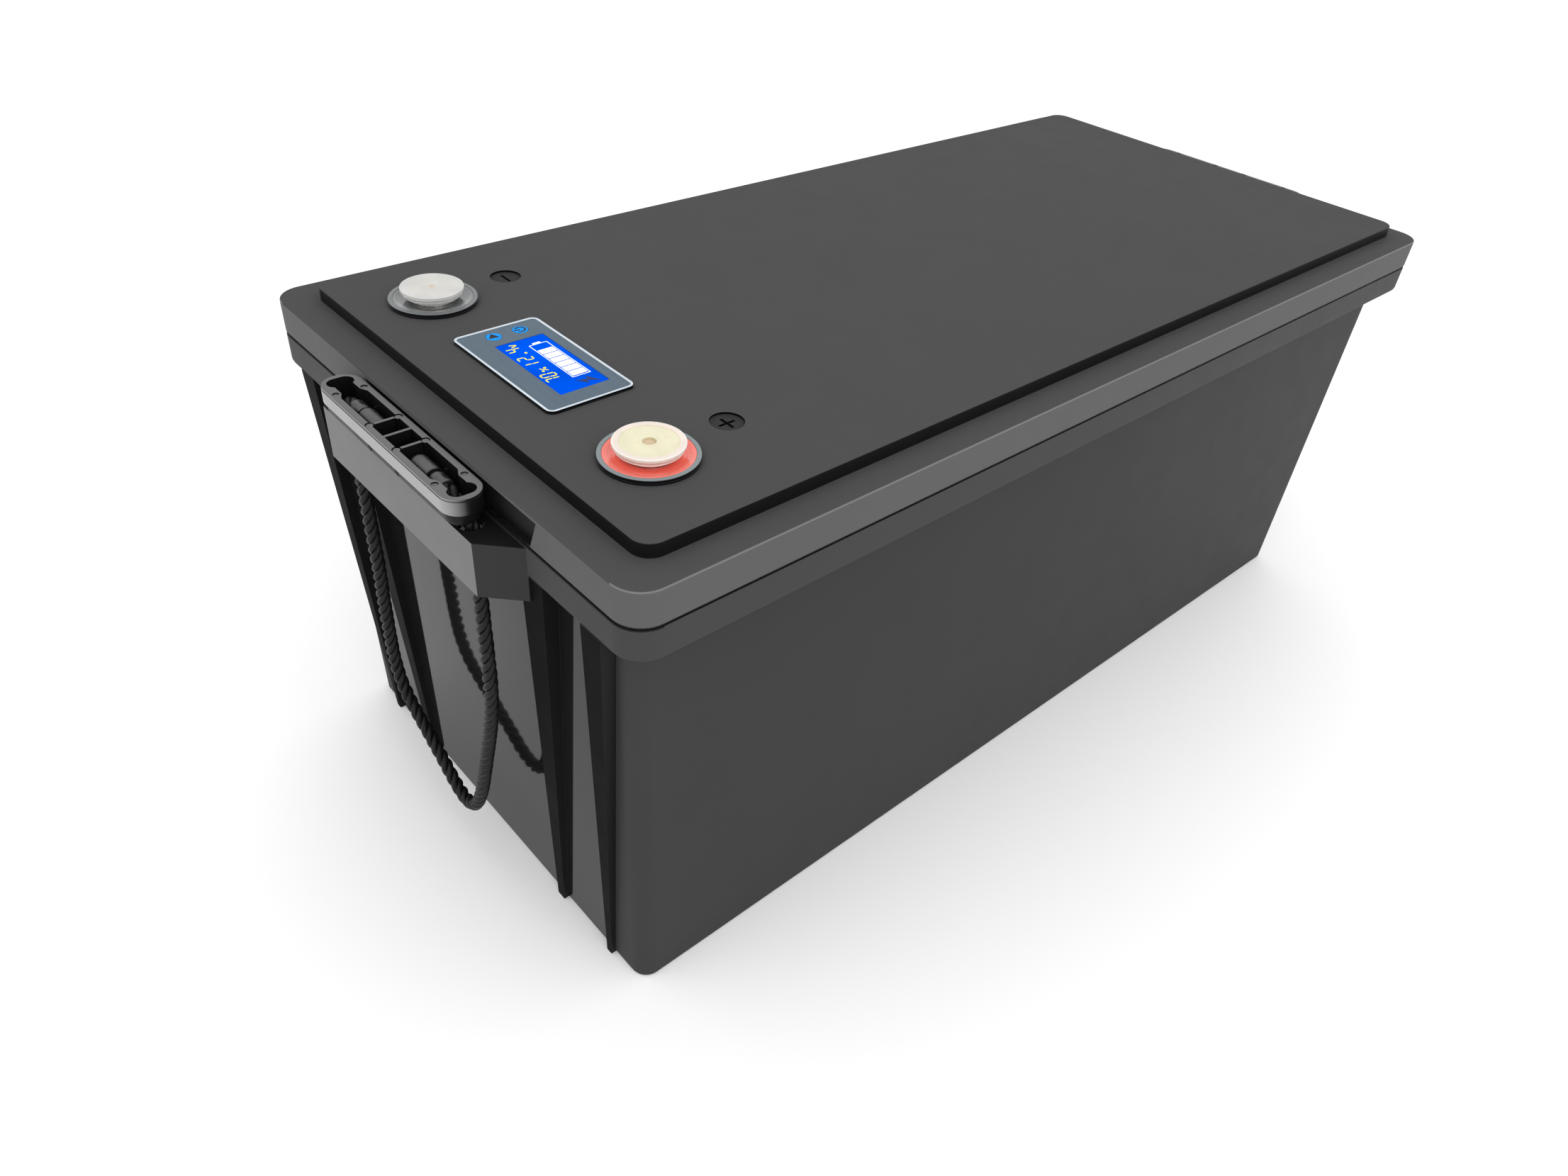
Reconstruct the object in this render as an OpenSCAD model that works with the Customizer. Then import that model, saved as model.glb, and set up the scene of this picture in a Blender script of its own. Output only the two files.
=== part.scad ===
// Deep cycle battery: a moulded case with a sealed lid, a flush state-of-charge meter,
// two capped terminals, two rope handles and a pack of four prismatic cells inside.
// The origin is the centre of the case's foot. The case is long in X, and +Z is up.
// The terminals and the meter are at the -X end.

/* [Case] */
// Length of the rim and lid
rim_l = 498; // [490:1:510]
// Width of the rim and lid
rim_w = 240; // [236:1:250]
// Length of the body just below the rim
body_l = 486; // [484:1:486]
// Width of the body just below the rim
body_w = 219.5; // [218:0.5:222]
// Length of the body at the floor
foot_l = 478; // [478:1:482]
// Width of the body at the floor
foot_w = 218; // [217:0.5:218]
// Height of the rim's underside
rim_z = 178.5; // [178:0.5:180]
// Height of the joint between the rim and the lid
seam_z = 191; // [190:0.5:192]
// Height of the lid's outer flange
flange_z = 205; // [204:0.5:206]
// Height of the raised panel of the lid
top_z = 210.3; // [210:0.1:211]
// Wall thickness of the mouldings
wall = 3; // [2.5:0.5:3]
// Corner radius of the rim and lid
rim_r = 11; // [9:1:14]
// Corner radius of the body
body_r = 8; // [6:1:9]

/* [Ledges] */
// Distance from the middle of the case to a ledge's front
ledge_x = 261; // [260:0.5:263]
// Half the length of a ledge's front
ledge_front = 52; // [50:1:54]
// Height of a ledge's underside
ledge_low = 169; // [168:0.5:172]
// Height of a ledge's top
ledge_top = 190; // [189.5:0.5:190]
// Radius of each rope hole
rope_hole_r = 4.2; // [4:0.1:4.5]
// Depth of the lid's notch behind a grip
notch_depth = 4; // [3:0.5:4]

/* [Handles] */
// Length of a grip
grip_l = 95; // [94:1:98]
// Width of a grip
grip_w = 14.5; // [14.2:0.1:14.6]
// Height of a grip
grip_h = 13; // [12.5:0.5:14]
// Distance from the middle of the case to a grip's centre line
grip_x = 257; // [257:0.5:258]
// Diameter of the rope
rope_d = 5.6; // [5:0.1:6]

/* [Terminals] */
// Distance from the middle of the case to the terminals
term_x = 205.8; // [204:0.1:208]
// Half the distance between the terminals
term_y = 69.2; // [67:0.1:71]
// Radius of the outer ring
ring_r = 16.6; // [16:0.1:17]
// Radius of the coloured seal
seal_r = 15; // [14.5:0.1:15.2]
// Radius of the threaded post
post_r = 8; // [7.5:0.5:8]
// Height of the post's top face
post_top = 214.6; // [214:0.1:215]
// Radius of the tapped hole
thread_r = 3.4; // [3.4:0.05:3.5]
// Depth of the tapped hole
thread_depth = 12; // [10:1:13]
// Radius of the cap
cap_r = 11.9; // [11.5:0.1:12.5]
// Height of the cap's top
cap_top = 216.3; // [216:0.1:217]

/* [Meter] */
// Distance from the middle of the case to the meter's centre
meter_x = 199.85; // [199:0.05:201]
// Offset of the meter's centre to the negative side
meter_y = 2.35; // [2:0.05:3]
// Short side of the meter's frame
meter_w = 35; // [34:0.5:36]
// Long side of the meter's frame
meter_l = 65; // [64:0.5:66]
// Short side of the display window
window_w = 20; // [19:0.5:20]
// Long side of the display window
window_l = 43; // [42:0.5:43]
// Radius of each button
button_r = 2.9; // [2.5:0.1:3]

/* [Cells] */
// Height of a cell on its side
cell_h = 174; // [170:1:174]
// Length of a cell
cell_l = 204; // [200:1:204]
// Thickness of a cell
cell_t = 71.5; // [70:0.5:71.5]
// Half the gap between the facing cell terminals
gap_half = 15; // [15:0.5:16]

/* [Hidden] */
$fn = 64;
slack = 0.01;

lid_z = seam_z + 0.8;
lip_t = 2;
lip_gap = 0.3;
lip_z = seam_z - 5;
panel_near = 12.7;
panel_far = 10;
panel_side = 11.9;
panel_r = 7;
panel_l = rim_l - panel_near - panel_far;
panel_w = rim_w - 2*panel_side;
panel_x = (panel_near - panel_far)/2;

ledge_wall = 2;
ledge_foot = ledge_front + ledge_x - rim_l/2;
rope_y = 42.5;
rope_x = 255.5;
notch_low = 66;
notch_high = 71;
notch_end = 38;
notch_corner = 3;
notch_top = flange_z - 1.8;

roundel_x = 171.3;
roundel_y = 70.2;
roundel_shift = 4.3;
roundel_r = 6.1;
roundel_depth = 0.9;
mark_l = 6.7;
mark_w = 1;
mark_depth = 0.5;

rib_foot_x = 241;
rib_inner = [[58.5, rim_z], [71.5, rim_z], [56.5, 0], [52, 0]];
rib_outer = [[92.5, rim_z], [103, rim_z], [90.5, 0], [87.5, 0]];

grip_r = grip_w/2;
grip_axis_z = ledge_top + grip_r;
grip_rim_z = ledge_top + grip_h;
trough_w = 9.6;
trough_z = grip_axis_z - 3.6;
partition_y = 10;
partition_t = 1.2;
trough_end_y = 34;
keyhole_y = 41.9;
keyhole_r = 3.2;
keyhole_spread = 1.6;
neck_w = rope_d + 1;
exit_x = grip_x - rope_x - 0.8;
exit_y = 35;
ferrule_z = 197.5;
ferrule_y = 11.5;
ferrule_r = 3.7;
ferrule_l = 12;
groove_r = 2.9;
groove_l = 1.5;
crimp_r = 3.3;
crimp_l = 6.5;

// The near rope's centre line, from one ferrule round to the other
rope_route = [
    [-257, -31.5, 197.5], [-257, -34, 197.5], [-256.7, -37.5, 196], [-256.4, -40, 193.5],
    [-256, -42, 190.4], [-255.5, -42.5, 186.5], [-255.5, -42.5, 172], [-255.5, -42.5, 158],
    [-255.5, -42.5, 144], [-255.5, -42.5, 130], [-255.5, -42, 117], [-255.5, -40, 104],
    [-255.5, -36.8, 91], [-255.5, -33, 78.5], [-255.5, -29.2, 66], [-255.5, -25.5, 54],
    [-255.5, -21.3, 43], [-255.5, -16, 33.5], [-255.5, -9, 29], [-255.5, -1, 30],
    [-255.5, 7, 35.3], [-255.5, 18, 43], [-255.5, 29, 50], [-255.5, 37, 56],
    [-255.5, 42, 64], [-255.5, 44, 75], [-255.5, 44, 90], [-255.5, 43.5, 105],
    [-255.5, 42.5, 120], [-255.5, 42.5, 138], [-255.5, 42.5, 155], [-255.5, 42.5, 171],
    [-255.5, 42.5, 186.5], [-256, 42, 190.4], [-256.4, 40, 193.5], [-256.7, 37.5, 196],
    [-257, 34, 197.5], [-257, 31.5, 197.5]];
rope_sides = 8;

gasket_z = top_z + 1.2;
gasket_inner_r = 13;
ring_z = gasket_z + 0.6;
gasket_lip_z = ring_z - 0.15;
seal_edge_z = ring_z - 0.1;
seal_floor_z = top_z + 0.9;
seal_dish_r = 13.8;
seal_floor_r = 11.4;
seal_inner_r = post_r + 0.3;
flange_r = 11;
flange_low = 201.5;
stud_r = 4;
stud_low = 189;
bar_t = 3;
bar_z = flange_low - bar_t;
bar_end_r = 9;
nut_h = 6.5;
nut_r = 7.5;
cap_wall_r = 9.8;
cap_low = top_z + 2.2;
cap_tier_r = 11.1;
cap_tier_low = cap_low + 1.1;
cap_tier_z = cap_top - 1.2;
cap_rim_h = 0.3;
cap_rim_t = 1.5;
cap_dimple_r = 2.3;
cap_dimple_l = 0.9;

bezel_z = top_z + 0.4;
bezel_top = top_z + 1.1;
fascia_top = top_z + 0.9;
bezel_t = 1;
housing_w = meter_w - 2;
housing_l = meter_l - 2;
housing_z = 198.5;
housing_t = 1;
board_z = 203;
board_t = 1.6;
display_z = 207.5;
window_x = meter_x - 197.5;
window_y = -0.1 - meter_y;
window_slip = 0.2;
carrier_w = window_w + 1.5;
carrier_l = window_l + 1.5;
button_x = meter_x - 198.2;
button_y = 28.35 - meter_y;
button_gap = 5.5;
button_low = 209.5;
button_top = fascia_top + 0.1;
button_hole_r = button_r + 0.15;
switch_top = 209;
switch_side = 6;

pad_z = wall + 3;
cell_z = pad_z + cell_h;
cell_end = gap_half + cell_l;
cell_y = 0.5;
cell_side = cell_y + cell_t;
cell_r = 4;
plate_t = 3;
plate_end = cell_end + plate_t;
band_t = 1;
band_w = 16;
band_heights = [40, 126];
foam_gap = 0.5;
foam_h = 164;
end_foam_w = 180;
foam_x = 235;
foam_y = 105;
post_low_z = 33;
post_high_z = 153;
post_y = cell_y + cell_t/2;
post_l = 5;
cell_post_r = 8;
cell_stud_r = 3;
cell_stud_l = 8.5;
link_w = 20;
link_x = gap_half - post_l;
link_nut_h = 5;
sheet_z = cell_z + 1;
sheet_slot_l = 120;
tab_reach = 10;
tab_rise = 12;
bms_z = 186.4;
bms_t = 1.6;
bms_x = -86;
bms_l = 128;
bms_w = 92;
bms_top = bms_z + bms_t;
bms_hole_x = 59;
bms_hole_y = 22;
riser_x = 148;
riser_y = 36;
riser_l = 26;
bar_w = 16;
bar_bend_x = 150;
cell_bar_l = 35;
switch_pitch = 12;
switch_l = 10;
switch_w = 9;
switch_h = 2.5;
switch_row = 11;
switch_count = 6;
fin_count = 7;
fin_t = 2;
fin_h = 5;
fin_pitch = 6;
sink_l = 76;
connector_x = -32;
connector_y = -14;
connector_l = 8;
connector_w = 26;
connector_h = 6;
ribbon_x = -24;
ribbon_y = -12;
ribbon_w = 22;
ribbon_t = 1.2;
ribbon_foot_z = 60;

// ---- shared shapes ----

module rounded_rect(l, w, r) {
    square([l - 2*r, w], center = true);
    square([l, w - 2*r], center = true);
    for (sx = [-1, 1], sy = [-1, 1])
        translate([sx*(l/2 - r), sy*(w/2 - r)]) circle(r);
}

module slab(l, w, r, low, high) {
    translate([0, 0, low]) linear_extrude(high - low) rounded_rect(l, w, r);
}

// A ring standing on "low", bored right through
module ring(outer, inner, low, high) {
    translate([0, 0, low]) difference() {
        cylinder(r = outer, h = high - low);
        translate([0, 0, -1]) cylinder(r = inner, h = high - low + 2);
    }
}

// An outline drawn as [y, z] and extruded in X from x0 to x1
module along_x(outline, x0, x1) {
    translate([x0, 0, 0]) rotate([90, 0, 90]) linear_extrude(x1 - x0) polygon(outline);
}

// An outline drawn as [x, z] and extruded in Y over the width w
module along_y(outline, w) {
    translate([0, w/2, 0]) rotate([90, 0, 0]) linear_extrude(w) polygon(outline);
}

// A drafted box: straight-sided prisms cut each other, so its walls lean inwards to the foot
module drafted_box(l0, l1, w0, w1, r, low, high) {
    intersection() {
        slab(l1, w1, r, low, high);
        along_y([[-l0/2, low], [l0/2, low], [l1/2, high], [-l1/2, high]], w1 + 2);
        along_x([[-w0/2, low], [w0/2, low], [w1/2, high], [-w1/2, high]],
                -l1/2 - 1, l1/2 + 1);
    }
}

module both_ends() {
    children();
    rotate([0, 0, 180]) children();
}

module at_terminal(side) {
    translate([-term_x, side*term_y, 0]) children();
}

module at_meter() {
    translate([-meter_x, meter_y, 0]) children();
}

module hexagon(r, low, high) {
    translate([0, 0, low]) cylinder(r = r, h = high - low, $fn = 6);
}

// ---- case ----

module rib(outline, side) {
    sided = [for (p = outline) [side*p[0], p[1]]];
    intersection() {
        along_x(sided, -rim_l/2 - 1, -foot_l/2 + 3);
        along_y([[-rim_l/2, rim_z], [-rib_foot_x, 0],
                 [-foot_l/2 + 1, 0], [-body_l/2 + 1, rim_z]], rim_w);
    }
}

module ledge_outline(front, half_front, half_foot, back) {
    polygon([[-back, half_foot], [-rim_l/2, half_foot], [-front, half_front],
             [-front, -half_front], [-rim_l/2, -half_foot], [-back, -half_foot]]);
}

module ledge() {
    translate([0, 0, ledge_low]) linear_extrude(rim_z + 1 - ledge_low)
        ledge_outline(ledge_x, ledge_front, ledge_foot, body_l/2 - 1);
    translate([0, 0, rim_z]) linear_extrude(ledge_top - rim_z)
        ledge_outline(ledge_x, ledge_front, ledge_foot, rim_l/2 - wall + 1);
}

module ledge_hollow() {
    back = rim_l/2 + 0.5;
    translate([0, 0, ledge_low - 1]) linear_extrude(ledge_top - wall - ledge_low + 1)
        polygon([[-back, ledge_foot - 4], [-ledge_x + ledge_wall, ledge_front - 1],
                 [-ledge_x + ledge_wall, 1 - ledge_front], [-back, 4 - ledge_foot]]);
    for (side = [-1, 1])
        translate([-rope_x, side*rope_y, ledge_top - wall - 1])
            cylinder(r = rope_hole_r, h = wall + 2);
}

module container() {
    color([0.30, 0.30, 0.30]) difference() {
        union() {
            drafted_box(foot_l, body_l, foot_w, body_w, body_r, 0, rim_z + 1);
            slab(rim_l, rim_w, rim_r, rim_z, seam_z);
            both_ends() {
                ledge();
                for (side = [-1, 1]) {
                    rib(rib_inner, side);
                    rib(rib_outer, side);
                }
            }
        }
        drafted_box(foot_l - 2*wall, body_l - 2*wall, foot_w - 2*wall, body_w - 2*wall,
                    body_r - wall, wall, rim_z + 1 + slack);
        slab(body_l - 2*wall, body_w - 2*wall, body_r - wall, rim_z, seam_z);
        slab(rim_l - 2*wall, rim_w - 2*wall, rim_r - wall, rim_z + wall, seam_z + 1);
        both_ends() ledge_hollow();
    }
}

module roundel(side) {
    translate([-roundel_x, side*roundel_y + roundel_shift, top_z - roundel_depth]) {
        cylinder(r = roundel_r, h = roundel_depth + 1);
        translate([0, 0, -mark_depth]) linear_extrude(mark_depth + 1) {
            square([mark_w, mark_l], center = true);
            if (side < 0) square([mark_l, mark_w], center = true);
        }
    }
}

module notch() {
    along_x([[-notch_low, lid_z - 1], [notch_end, lid_z - 1],
             [notch_end, notch_top - notch_corner], [notch_end + 2, notch_top],
             [-notch_high, notch_top]],
            -rim_l/2 - 1, -rim_l/2 + notch_depth);
}

module notch_backing() {
    translate([-rim_l/2 + wall - slack, -notch_high - wall, lid_z])
        cube([notch_depth + slack, notch_high + notch_end + 2*wall + 2,
              flange_z - wall - lid_z + 1]);
}

module lid_shell() {
    difference() {
        union() {
            slab(rim_l, rim_w, rim_r, lid_z, flange_z);
            translate([panel_x, 0, 0])
                slab(panel_l, panel_w, panel_r, flange_z - wall, top_z);
        }
        slab(rim_l - 2*wall, rim_w - 2*wall, rim_r - wall, lid_z - 1, flange_z - wall);
        translate([panel_x, 0, 0])
            slab(panel_l - 2*wall, panel_w - 2*wall, panel_r - wall,
                 flange_z - wall - 1, top_z - wall);
    }
}

module lip() {
    outer_l = rim_l - 2*wall - 2*lip_gap;
    outer_w = rim_w - 2*wall - 2*lip_gap;
    difference() {
        slab(outer_l, outer_w, rim_r - wall, lip_z, flange_z - wall + slack);
        slab(outer_l - 2*lip_t, outer_w - 2*lip_t, rim_r - wall - lip_t,
             lip_z - 1, flange_z);
    }
}

module lid() {
    color([0.34, 0.34, 0.34]) difference() {
        union() {
            lid_shell();
            lip();
            both_ends() notch_backing();
        }
        both_ends() notch();
        for (side = [-1, 1]) {
            at_terminal(side) translate([0, 0, flange_low])
                cylinder(r = post_r + 0.3, h = top_z);
            roundel(side);
        }
        at_meter() slab(housing_w + 0.4, housing_l + 0.4, 1, flange_low, top_z + 1);
    }
}

module lid_seal() {
    color([0.08, 0.08, 0.08]) difference() {
        slab(rim_l - 1.2, rim_w - 1.2, rim_r - 0.6, seam_z, lid_z);
        slab(rim_l - 5, rim_w - 5, rim_r - 2.5, seam_z - 1, lid_z + 1);
    }
}

// ---- terminals ----

module terminal_gasket(side) {
    color([0.05, 0.05, 0.06]) at_terminal(side) {
        ring(ring_r + 0.3, gasket_inner_r, top_z, gasket_z);
        ring(ring_r + 0.3, ring_r, gasket_z - slack, gasket_lip_z);
    }
}

module terminal_ring(side) {
    color([0.50, 0.54, 0.55]) at_terminal(side) ring(ring_r, seal_r, gasket_z, ring_z);
}

// A dished washer that lies on the gasket and drops inside it, to the lid
module terminal_seal(side, tint) {
    color(tint) at_terminal(side) difference() {
        union() {
            ring(seal_r, seal_inner_r, gasket_z, seal_edge_z);
            ring(gasket_inner_r - 0.1, seal_inner_r, top_z, gasket_z + slack);
        }
        translate([0, 0, seal_floor_z])
            cylinder(r1 = seal_floor_r, r2 = seal_dish_r,
                     h = seal_edge_z - seal_floor_z + slack);
    }
}

module terminal_post(side) {
    color([0.78, 0.74, 0.62]) at_terminal(side) difference() {
        union() {
            translate([0, 0, flange_low]) cylinder(r = post_r, h = post_top - flange_low);
            translate([0, 0, flange_low])
                cylinder(r = flange_r, h = top_z - wall - flange_low);
            translate([0, 0, stud_low]) cylinder(r = stud_r, h = flange_low - stud_low + 1);
        }
        translate([0, 0, post_top - thread_depth])
            cylinder(r = thread_r, h = thread_depth + 1);
    }
}

module terminal_nut(side) {
    color([0.75, 0.76, 0.78]) at_terminal(side) difference() {
        hexagon(nut_r, bar_z - nut_h, bar_z);
        translate([0, 0, bar_z - nut_h - 1]) cylinder(r = stud_r + 0.05, h = nut_h + 2);
    }
}

// A push-on cap: a collar round the post under a tier and a thumb disc
module terminal_cap(side, dimple_r, tint) {
    color(tint) at_terminal(side) difference() {
        union() {
            translate([0, 0, cap_low])
                cylinder(r = cap_wall_r, h = cap_tier_low - cap_low + slack);
            translate([0, 0, cap_tier_low])
                cylinder(r = cap_tier_r, h = cap_tier_z - cap_tier_low + slack);
            translate([0, 0, cap_tier_z]) cylinder(r = cap_r, h = cap_top - cap_tier_z);
        }
        translate([0, 0, cap_low - 1])
            cylinder(r = post_r + 0.2, h = post_top - cap_low + 1);
        if (dimple_r > 0)
            translate([0, 0, cap_top - cap_dimple_l]) cylinder(r = dimple_r, h = cap_top);
        translate([0, 0, cap_top - cap_rim_h]) cylinder(r = cap_r - cap_rim_t, h = cap_top);
    }
}

// ---- meter ----

module meter_gasket() {
    color([0.05, 0.05, 0.05]) at_meter() difference() {
        slab(meter_w + 0.6, meter_l + 0.6, 3.3, top_z, bezel_z);
        slab(housing_w + 0.4, housing_l + 0.4, 1, top_z - 1, top_z + 1);
    }
}

module meter_bezel() {
    color([0.82, 0.86, 0.90]) at_meter() difference() {
        slab(meter_w, meter_l, 3, bezel_z, bezel_top);
        slab(meter_w - 2*bezel_t, meter_l - 2*bezel_t, 1.8, bezel_z - 1, bezel_top + 1);
    }
}

module at_window() {
    translate([window_x, window_y, 0]) children();
}

module at_button(side) {
    translate([button_x + side*button_gap, button_y, 0]) children();
}

module meter_fascia() {
    color([0.39, 0.45, 0.50]) at_meter() difference() {
        slab(meter_w - 2*bezel_t, meter_l - 2*bezel_t, 1.8, bezel_z, fascia_top);
        at_window() slab(window_w, window_l, 0.4, bezel_z - 1, fascia_top + 1);
        for (side = [-1, 1]) at_button(side)
            translate([0, 0, bezel_z - 1]) cylinder(r = button_hole_r, h = 3);
    }
}

module meter_display() {
    color([0.0, 0.35, 0.92]) at_meter() at_window() {
        slab(window_w, window_l, 0.4, bezel_z - slack, fascia_top - window_slip);
        slab(carrier_w, carrier_l, 0.4, display_z, bezel_z);
    }
}

module meter_housing() {
    color([0.10, 0.10, 0.11]) at_meter() difference() {
        slab(housing_w, housing_l, 1, housing_z, bezel_z);
        slab(housing_w - 2*housing_t, housing_l - 2*housing_t, 0.5,
             housing_z + housing_t, bezel_z + 1);
    }
}

module meter_board() {
    color([0.05, 0.30, 0.12]) at_meter()
        slab(housing_w - 2*housing_t - 0.4, housing_l - 2*housing_t - 0.4, 0.4,
             board_z, board_z + board_t);
}

module meter_switches() {
    color([0.15, 0.15, 0.16]) at_meter()
        for (side = [-1, 1]) at_button(side)
            translate([-switch_side/2, -switch_side/2, board_z + board_t])
                cube([switch_side, switch_side, switch_top - board_z - board_t]);
}

module meter_button(side) {
    color([0.12, 0.56, 0.90]) at_meter() at_button(side)
        translate([0, 0, button_low]) cylinder(r = button_r, h = button_top - button_low);
}

// ---- rope handles ----

module grip_body() {
    half = grip_l/2 - grip_r;
    translate([0, -half, grip_axis_z]) rotate([-90, 0, 0]) cylinder(r = grip_r, h = 2*half);
    for (side = [-1, 1]) translate([0, side*half, grip_axis_z]) sphere(grip_r);
    translate([0, 0, grip_axis_z])
        linear_extrude(grip_rim_z - grip_axis_z) {
            square([grip_w, 2*half], center = true);
            for (side = [-1, 1]) translate([0, side*half]) circle(grip_r);
        }
}

// The cut for the +Y half of the grip: a pocket, the ferrule's trough, a neck, a keyhole
// and the hole in the underside that the rope bends down through
module grip_cut() {
    deep = grip_h;
    translate([-trough_w/2, partition_t/2, trough_z])
        cube([trough_w, partition_y - 1.5*partition_t, deep]);
    translate([-trough_w/2, partition_y, trough_z])
        cube([trough_w, trough_end_y - partition_y, deep]);
    translate([-neck_w/2, trough_end_y - 1, trough_z])
        cube([neck_w, keyhole_y - trough_end_y + 1, deep]);
    for (dx = [-keyhole_spread, keyhole_spread])
        translate([dx, keyhole_y, trough_z]) cylinder(r = keyhole_r, h = deep);
    translate([exit_x - neck_w/2, exit_y, ledge_top - 1])
        cube([neck_w, rope_y - exit_y, deep/2]);
    translate([exit_x, rope_y, ledge_top - 1]) cylinder(r = neck_w/2, h = deep/2);
}

// A saddle that stands in the ferrule's groove and stops it pulling out
module grip_saddle(side) {
    y = side*(ferrule_y + ferrule_l + groove_l/2);
    difference() {
        translate([-trough_w/2 - slack, y - 0.5, trough_z - slack])
            cube([trough_w + 2*slack, 1, ferrule_z - trough_z]);
        translate([0, y - 1, ferrule_z]) rotate([-90, 0, 0])
            cylinder(r = groove_r + 0.2, h = 2);
    }
}

module grip() {
    color([0.48, 0.48, 0.48]) translate([-grip_x, 0, 0]) {
        difference() {
            grip_body();
            for (flip = [0, 1]) mirror([0, flip, 0]) grip_cut();
        }
        for (side = [-1, 1]) grip_saddle(side);
    }
}

module ferrules() {
    color([0.45, 0.45, 0.45])
        for (side = [-1, 1])
            translate([-grip_x, side*ferrule_y, ferrule_z]) rotate([-90*side, 0, 0]) {
                cylinder(r = ferrule_r, h = ferrule_l);
                cylinder(r = groove_r, h = ferrule_l + groove_l + crimp_l);
                translate([0, 0, ferrule_l + groove_l]) cylinder(r = crimp_r, h = crimp_l);
            }
}

// The direction across the rope at point i, square to its route and to X
function route_side(i) =
    let (a = rope_route[max(i - 1, 0)], b = rope_route[min(i + 1, len(rope_route) - 1)])
    [0, a[2] - b[2], b[1] - a[1]]/norm([a[2] - b[2], b[1] - a[1]]);

function rope_ring(i) =
    [for (k = [0:rope_sides - 1])
        let (a = 360*k/rope_sides)
        rope_route[i] + rope_d/2*(cos(a)*[1, 0, 0] + sin(a)*route_side(i))];

module rope() {
    rings = len(rope_route);
    last = (rings - 1)*rope_sides;
    sides = [for (i = [0:rings - 2], k = [0:rope_sides - 1])
        let (n = (k + 1) % rope_sides, a = i*rope_sides)
        [a + k, a + rope_sides + k, a + rope_sides + n, a + n]];
    color([0.09, 0.09, 0.09]) polyhedron(
        points = [for (i = [0:rings - 1]) each rope_ring(i)],
        faces = concat(
            [[for (k = [0:rope_sides - 1]) k]],
            sides,
            [[for (k = [0:rope_sides - 1]) last + rope_sides - 1 - k]]));
}

// ---- cells and their links ----

// Cells 1 and 2 are at the -X end, and 3 and 4 at the +X end
module cell(end, side) {
    color([0.15, 0.32, 0.62])
        translate([end*(gap_half + cell_l/2), side*(cell_y + cell_t/2), 0])
            rotate([0, 90, 0]) translate([-pad_z - cell_h/2, 0, -cell_l/2])
                linear_extrude(cell_l) rounded_rect(cell_h, cell_t, cell_r);
}

module at_cell_post(end, side, z) {
    translate([end*gap_half, side*post_y, z]) rotate([0, -90*end, 0]) children();
}

module at_every_cell_post() {
    for (end = [-1, 1], side = [-1, 1], z = [post_low_z, post_high_z])
        at_cell_post(end, side, z) children();
}

module cell_posts() {
    color([0.80, 0.80, 0.80]) at_every_cell_post() {
        cylinder(r = cell_post_r, h = post_l);
        cylinder(r = cell_stud_r, h = post_l + cell_stud_l);
    }
}

module cell_divider() {
    color([0.75, 0.70, 0.35])
        for (end = [-1, 1])
            translate([end*(gap_half + cell_l/2) - cell_l/2, -cell_y, pad_z])
                cube([cell_l, 2*cell_y, cell_h]);
}

module stud_holes() {
    at_every_cell_post() translate([0, 0, post_l - 1]) cylinder(r = cell_stud_r + 0.2, h = 6);
}

// A flat copper tab on the face of one cell post
module tab(end, side, z, low, high) {
    translate([end > 0 ? link_x - bar_t : -link_x, side*post_y - link_w/2, z + low])
        cube([bar_t, link_w, high - low]);
}

module end_link(end) {
    color([0.80, 0.50, 0.28]) difference() {
        translate([end > 0 ? link_x - bar_t : -link_x,
                   -post_y - link_w/2, post_low_z - tab_reach])
            cube([bar_t, 2*post_y + link_w, 2*tab_reach]);
        stud_holes();
    }
}

module link_cross() {
    color([0.80, 0.50, 0.28]) difference() {
        union() {
            tab(-1, 1, post_high_z, -tab_reach, tab_rise + bar_t);
            tab(1, 1, post_high_z, -tab_reach, tab_rise + bar_t);
            translate([-link_x, post_y - link_w/2, post_high_z + tab_rise])
                cube([2*link_x, link_w, bar_t]);
        }
        stud_holes();
    }
}

module link_nuts() {
    color([0.70, 0.71, 0.73]) at_every_cell_post() translate([0, 0, post_l + bar_t])
        difference() {
            cylinder(r = 6, h = link_nut_h, $fn = 6);
            translate([0, 0, -1]) cylinder(r = cell_stud_r + 0.05, h = link_nut_h + 2);
        }
}

// ---- pack hardware ----

module base_pad() {
    color([0.12, 0.12, 0.12]) slab(foot_l - 2*wall - 2, foot_w - 2*wall - 2, 4, wall, pad_z);
}

module end_plates() {
    color([0.72, 0.73, 0.75])
        for (end = [-1, 1])
            translate([end*(cell_end + plate_t/2) - plate_t/2, -cell_side, pad_z])
                cube([plate_t, 2*cell_side, cell_h - 4]);
}

module cell_bands() {
    color([0.10, 0.35, 0.16])
        for (z = band_heights) difference() {
            slab(2*(plate_end + band_t), 2*(cell_side + band_t), 2, z, z + band_w);
            slab(2*plate_end, 2*cell_side, slack, z - 1, z + band_w + 1);
        }
}

module side_foam() {
    low_y = cell_side + band_t + foam_gap;
    color([0.20, 0.20, 0.21])
        for (side = [-1, 1])
            translate([-cell_end, side > 0 ? low_y : -foam_y, pad_z])
                cube([2*cell_end, foam_y - low_y, foam_h]);
}

module end_foam() {
    low_x = plate_end + band_t + foam_gap;
    color([0.22, 0.22, 0.23])
        for (side = [-1, 1])
            translate([side > 0 ? low_x : -foam_x, -end_foam_w/2, pad_z])
                cube([foam_x - low_x, end_foam_w, foam_h]);
}

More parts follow.
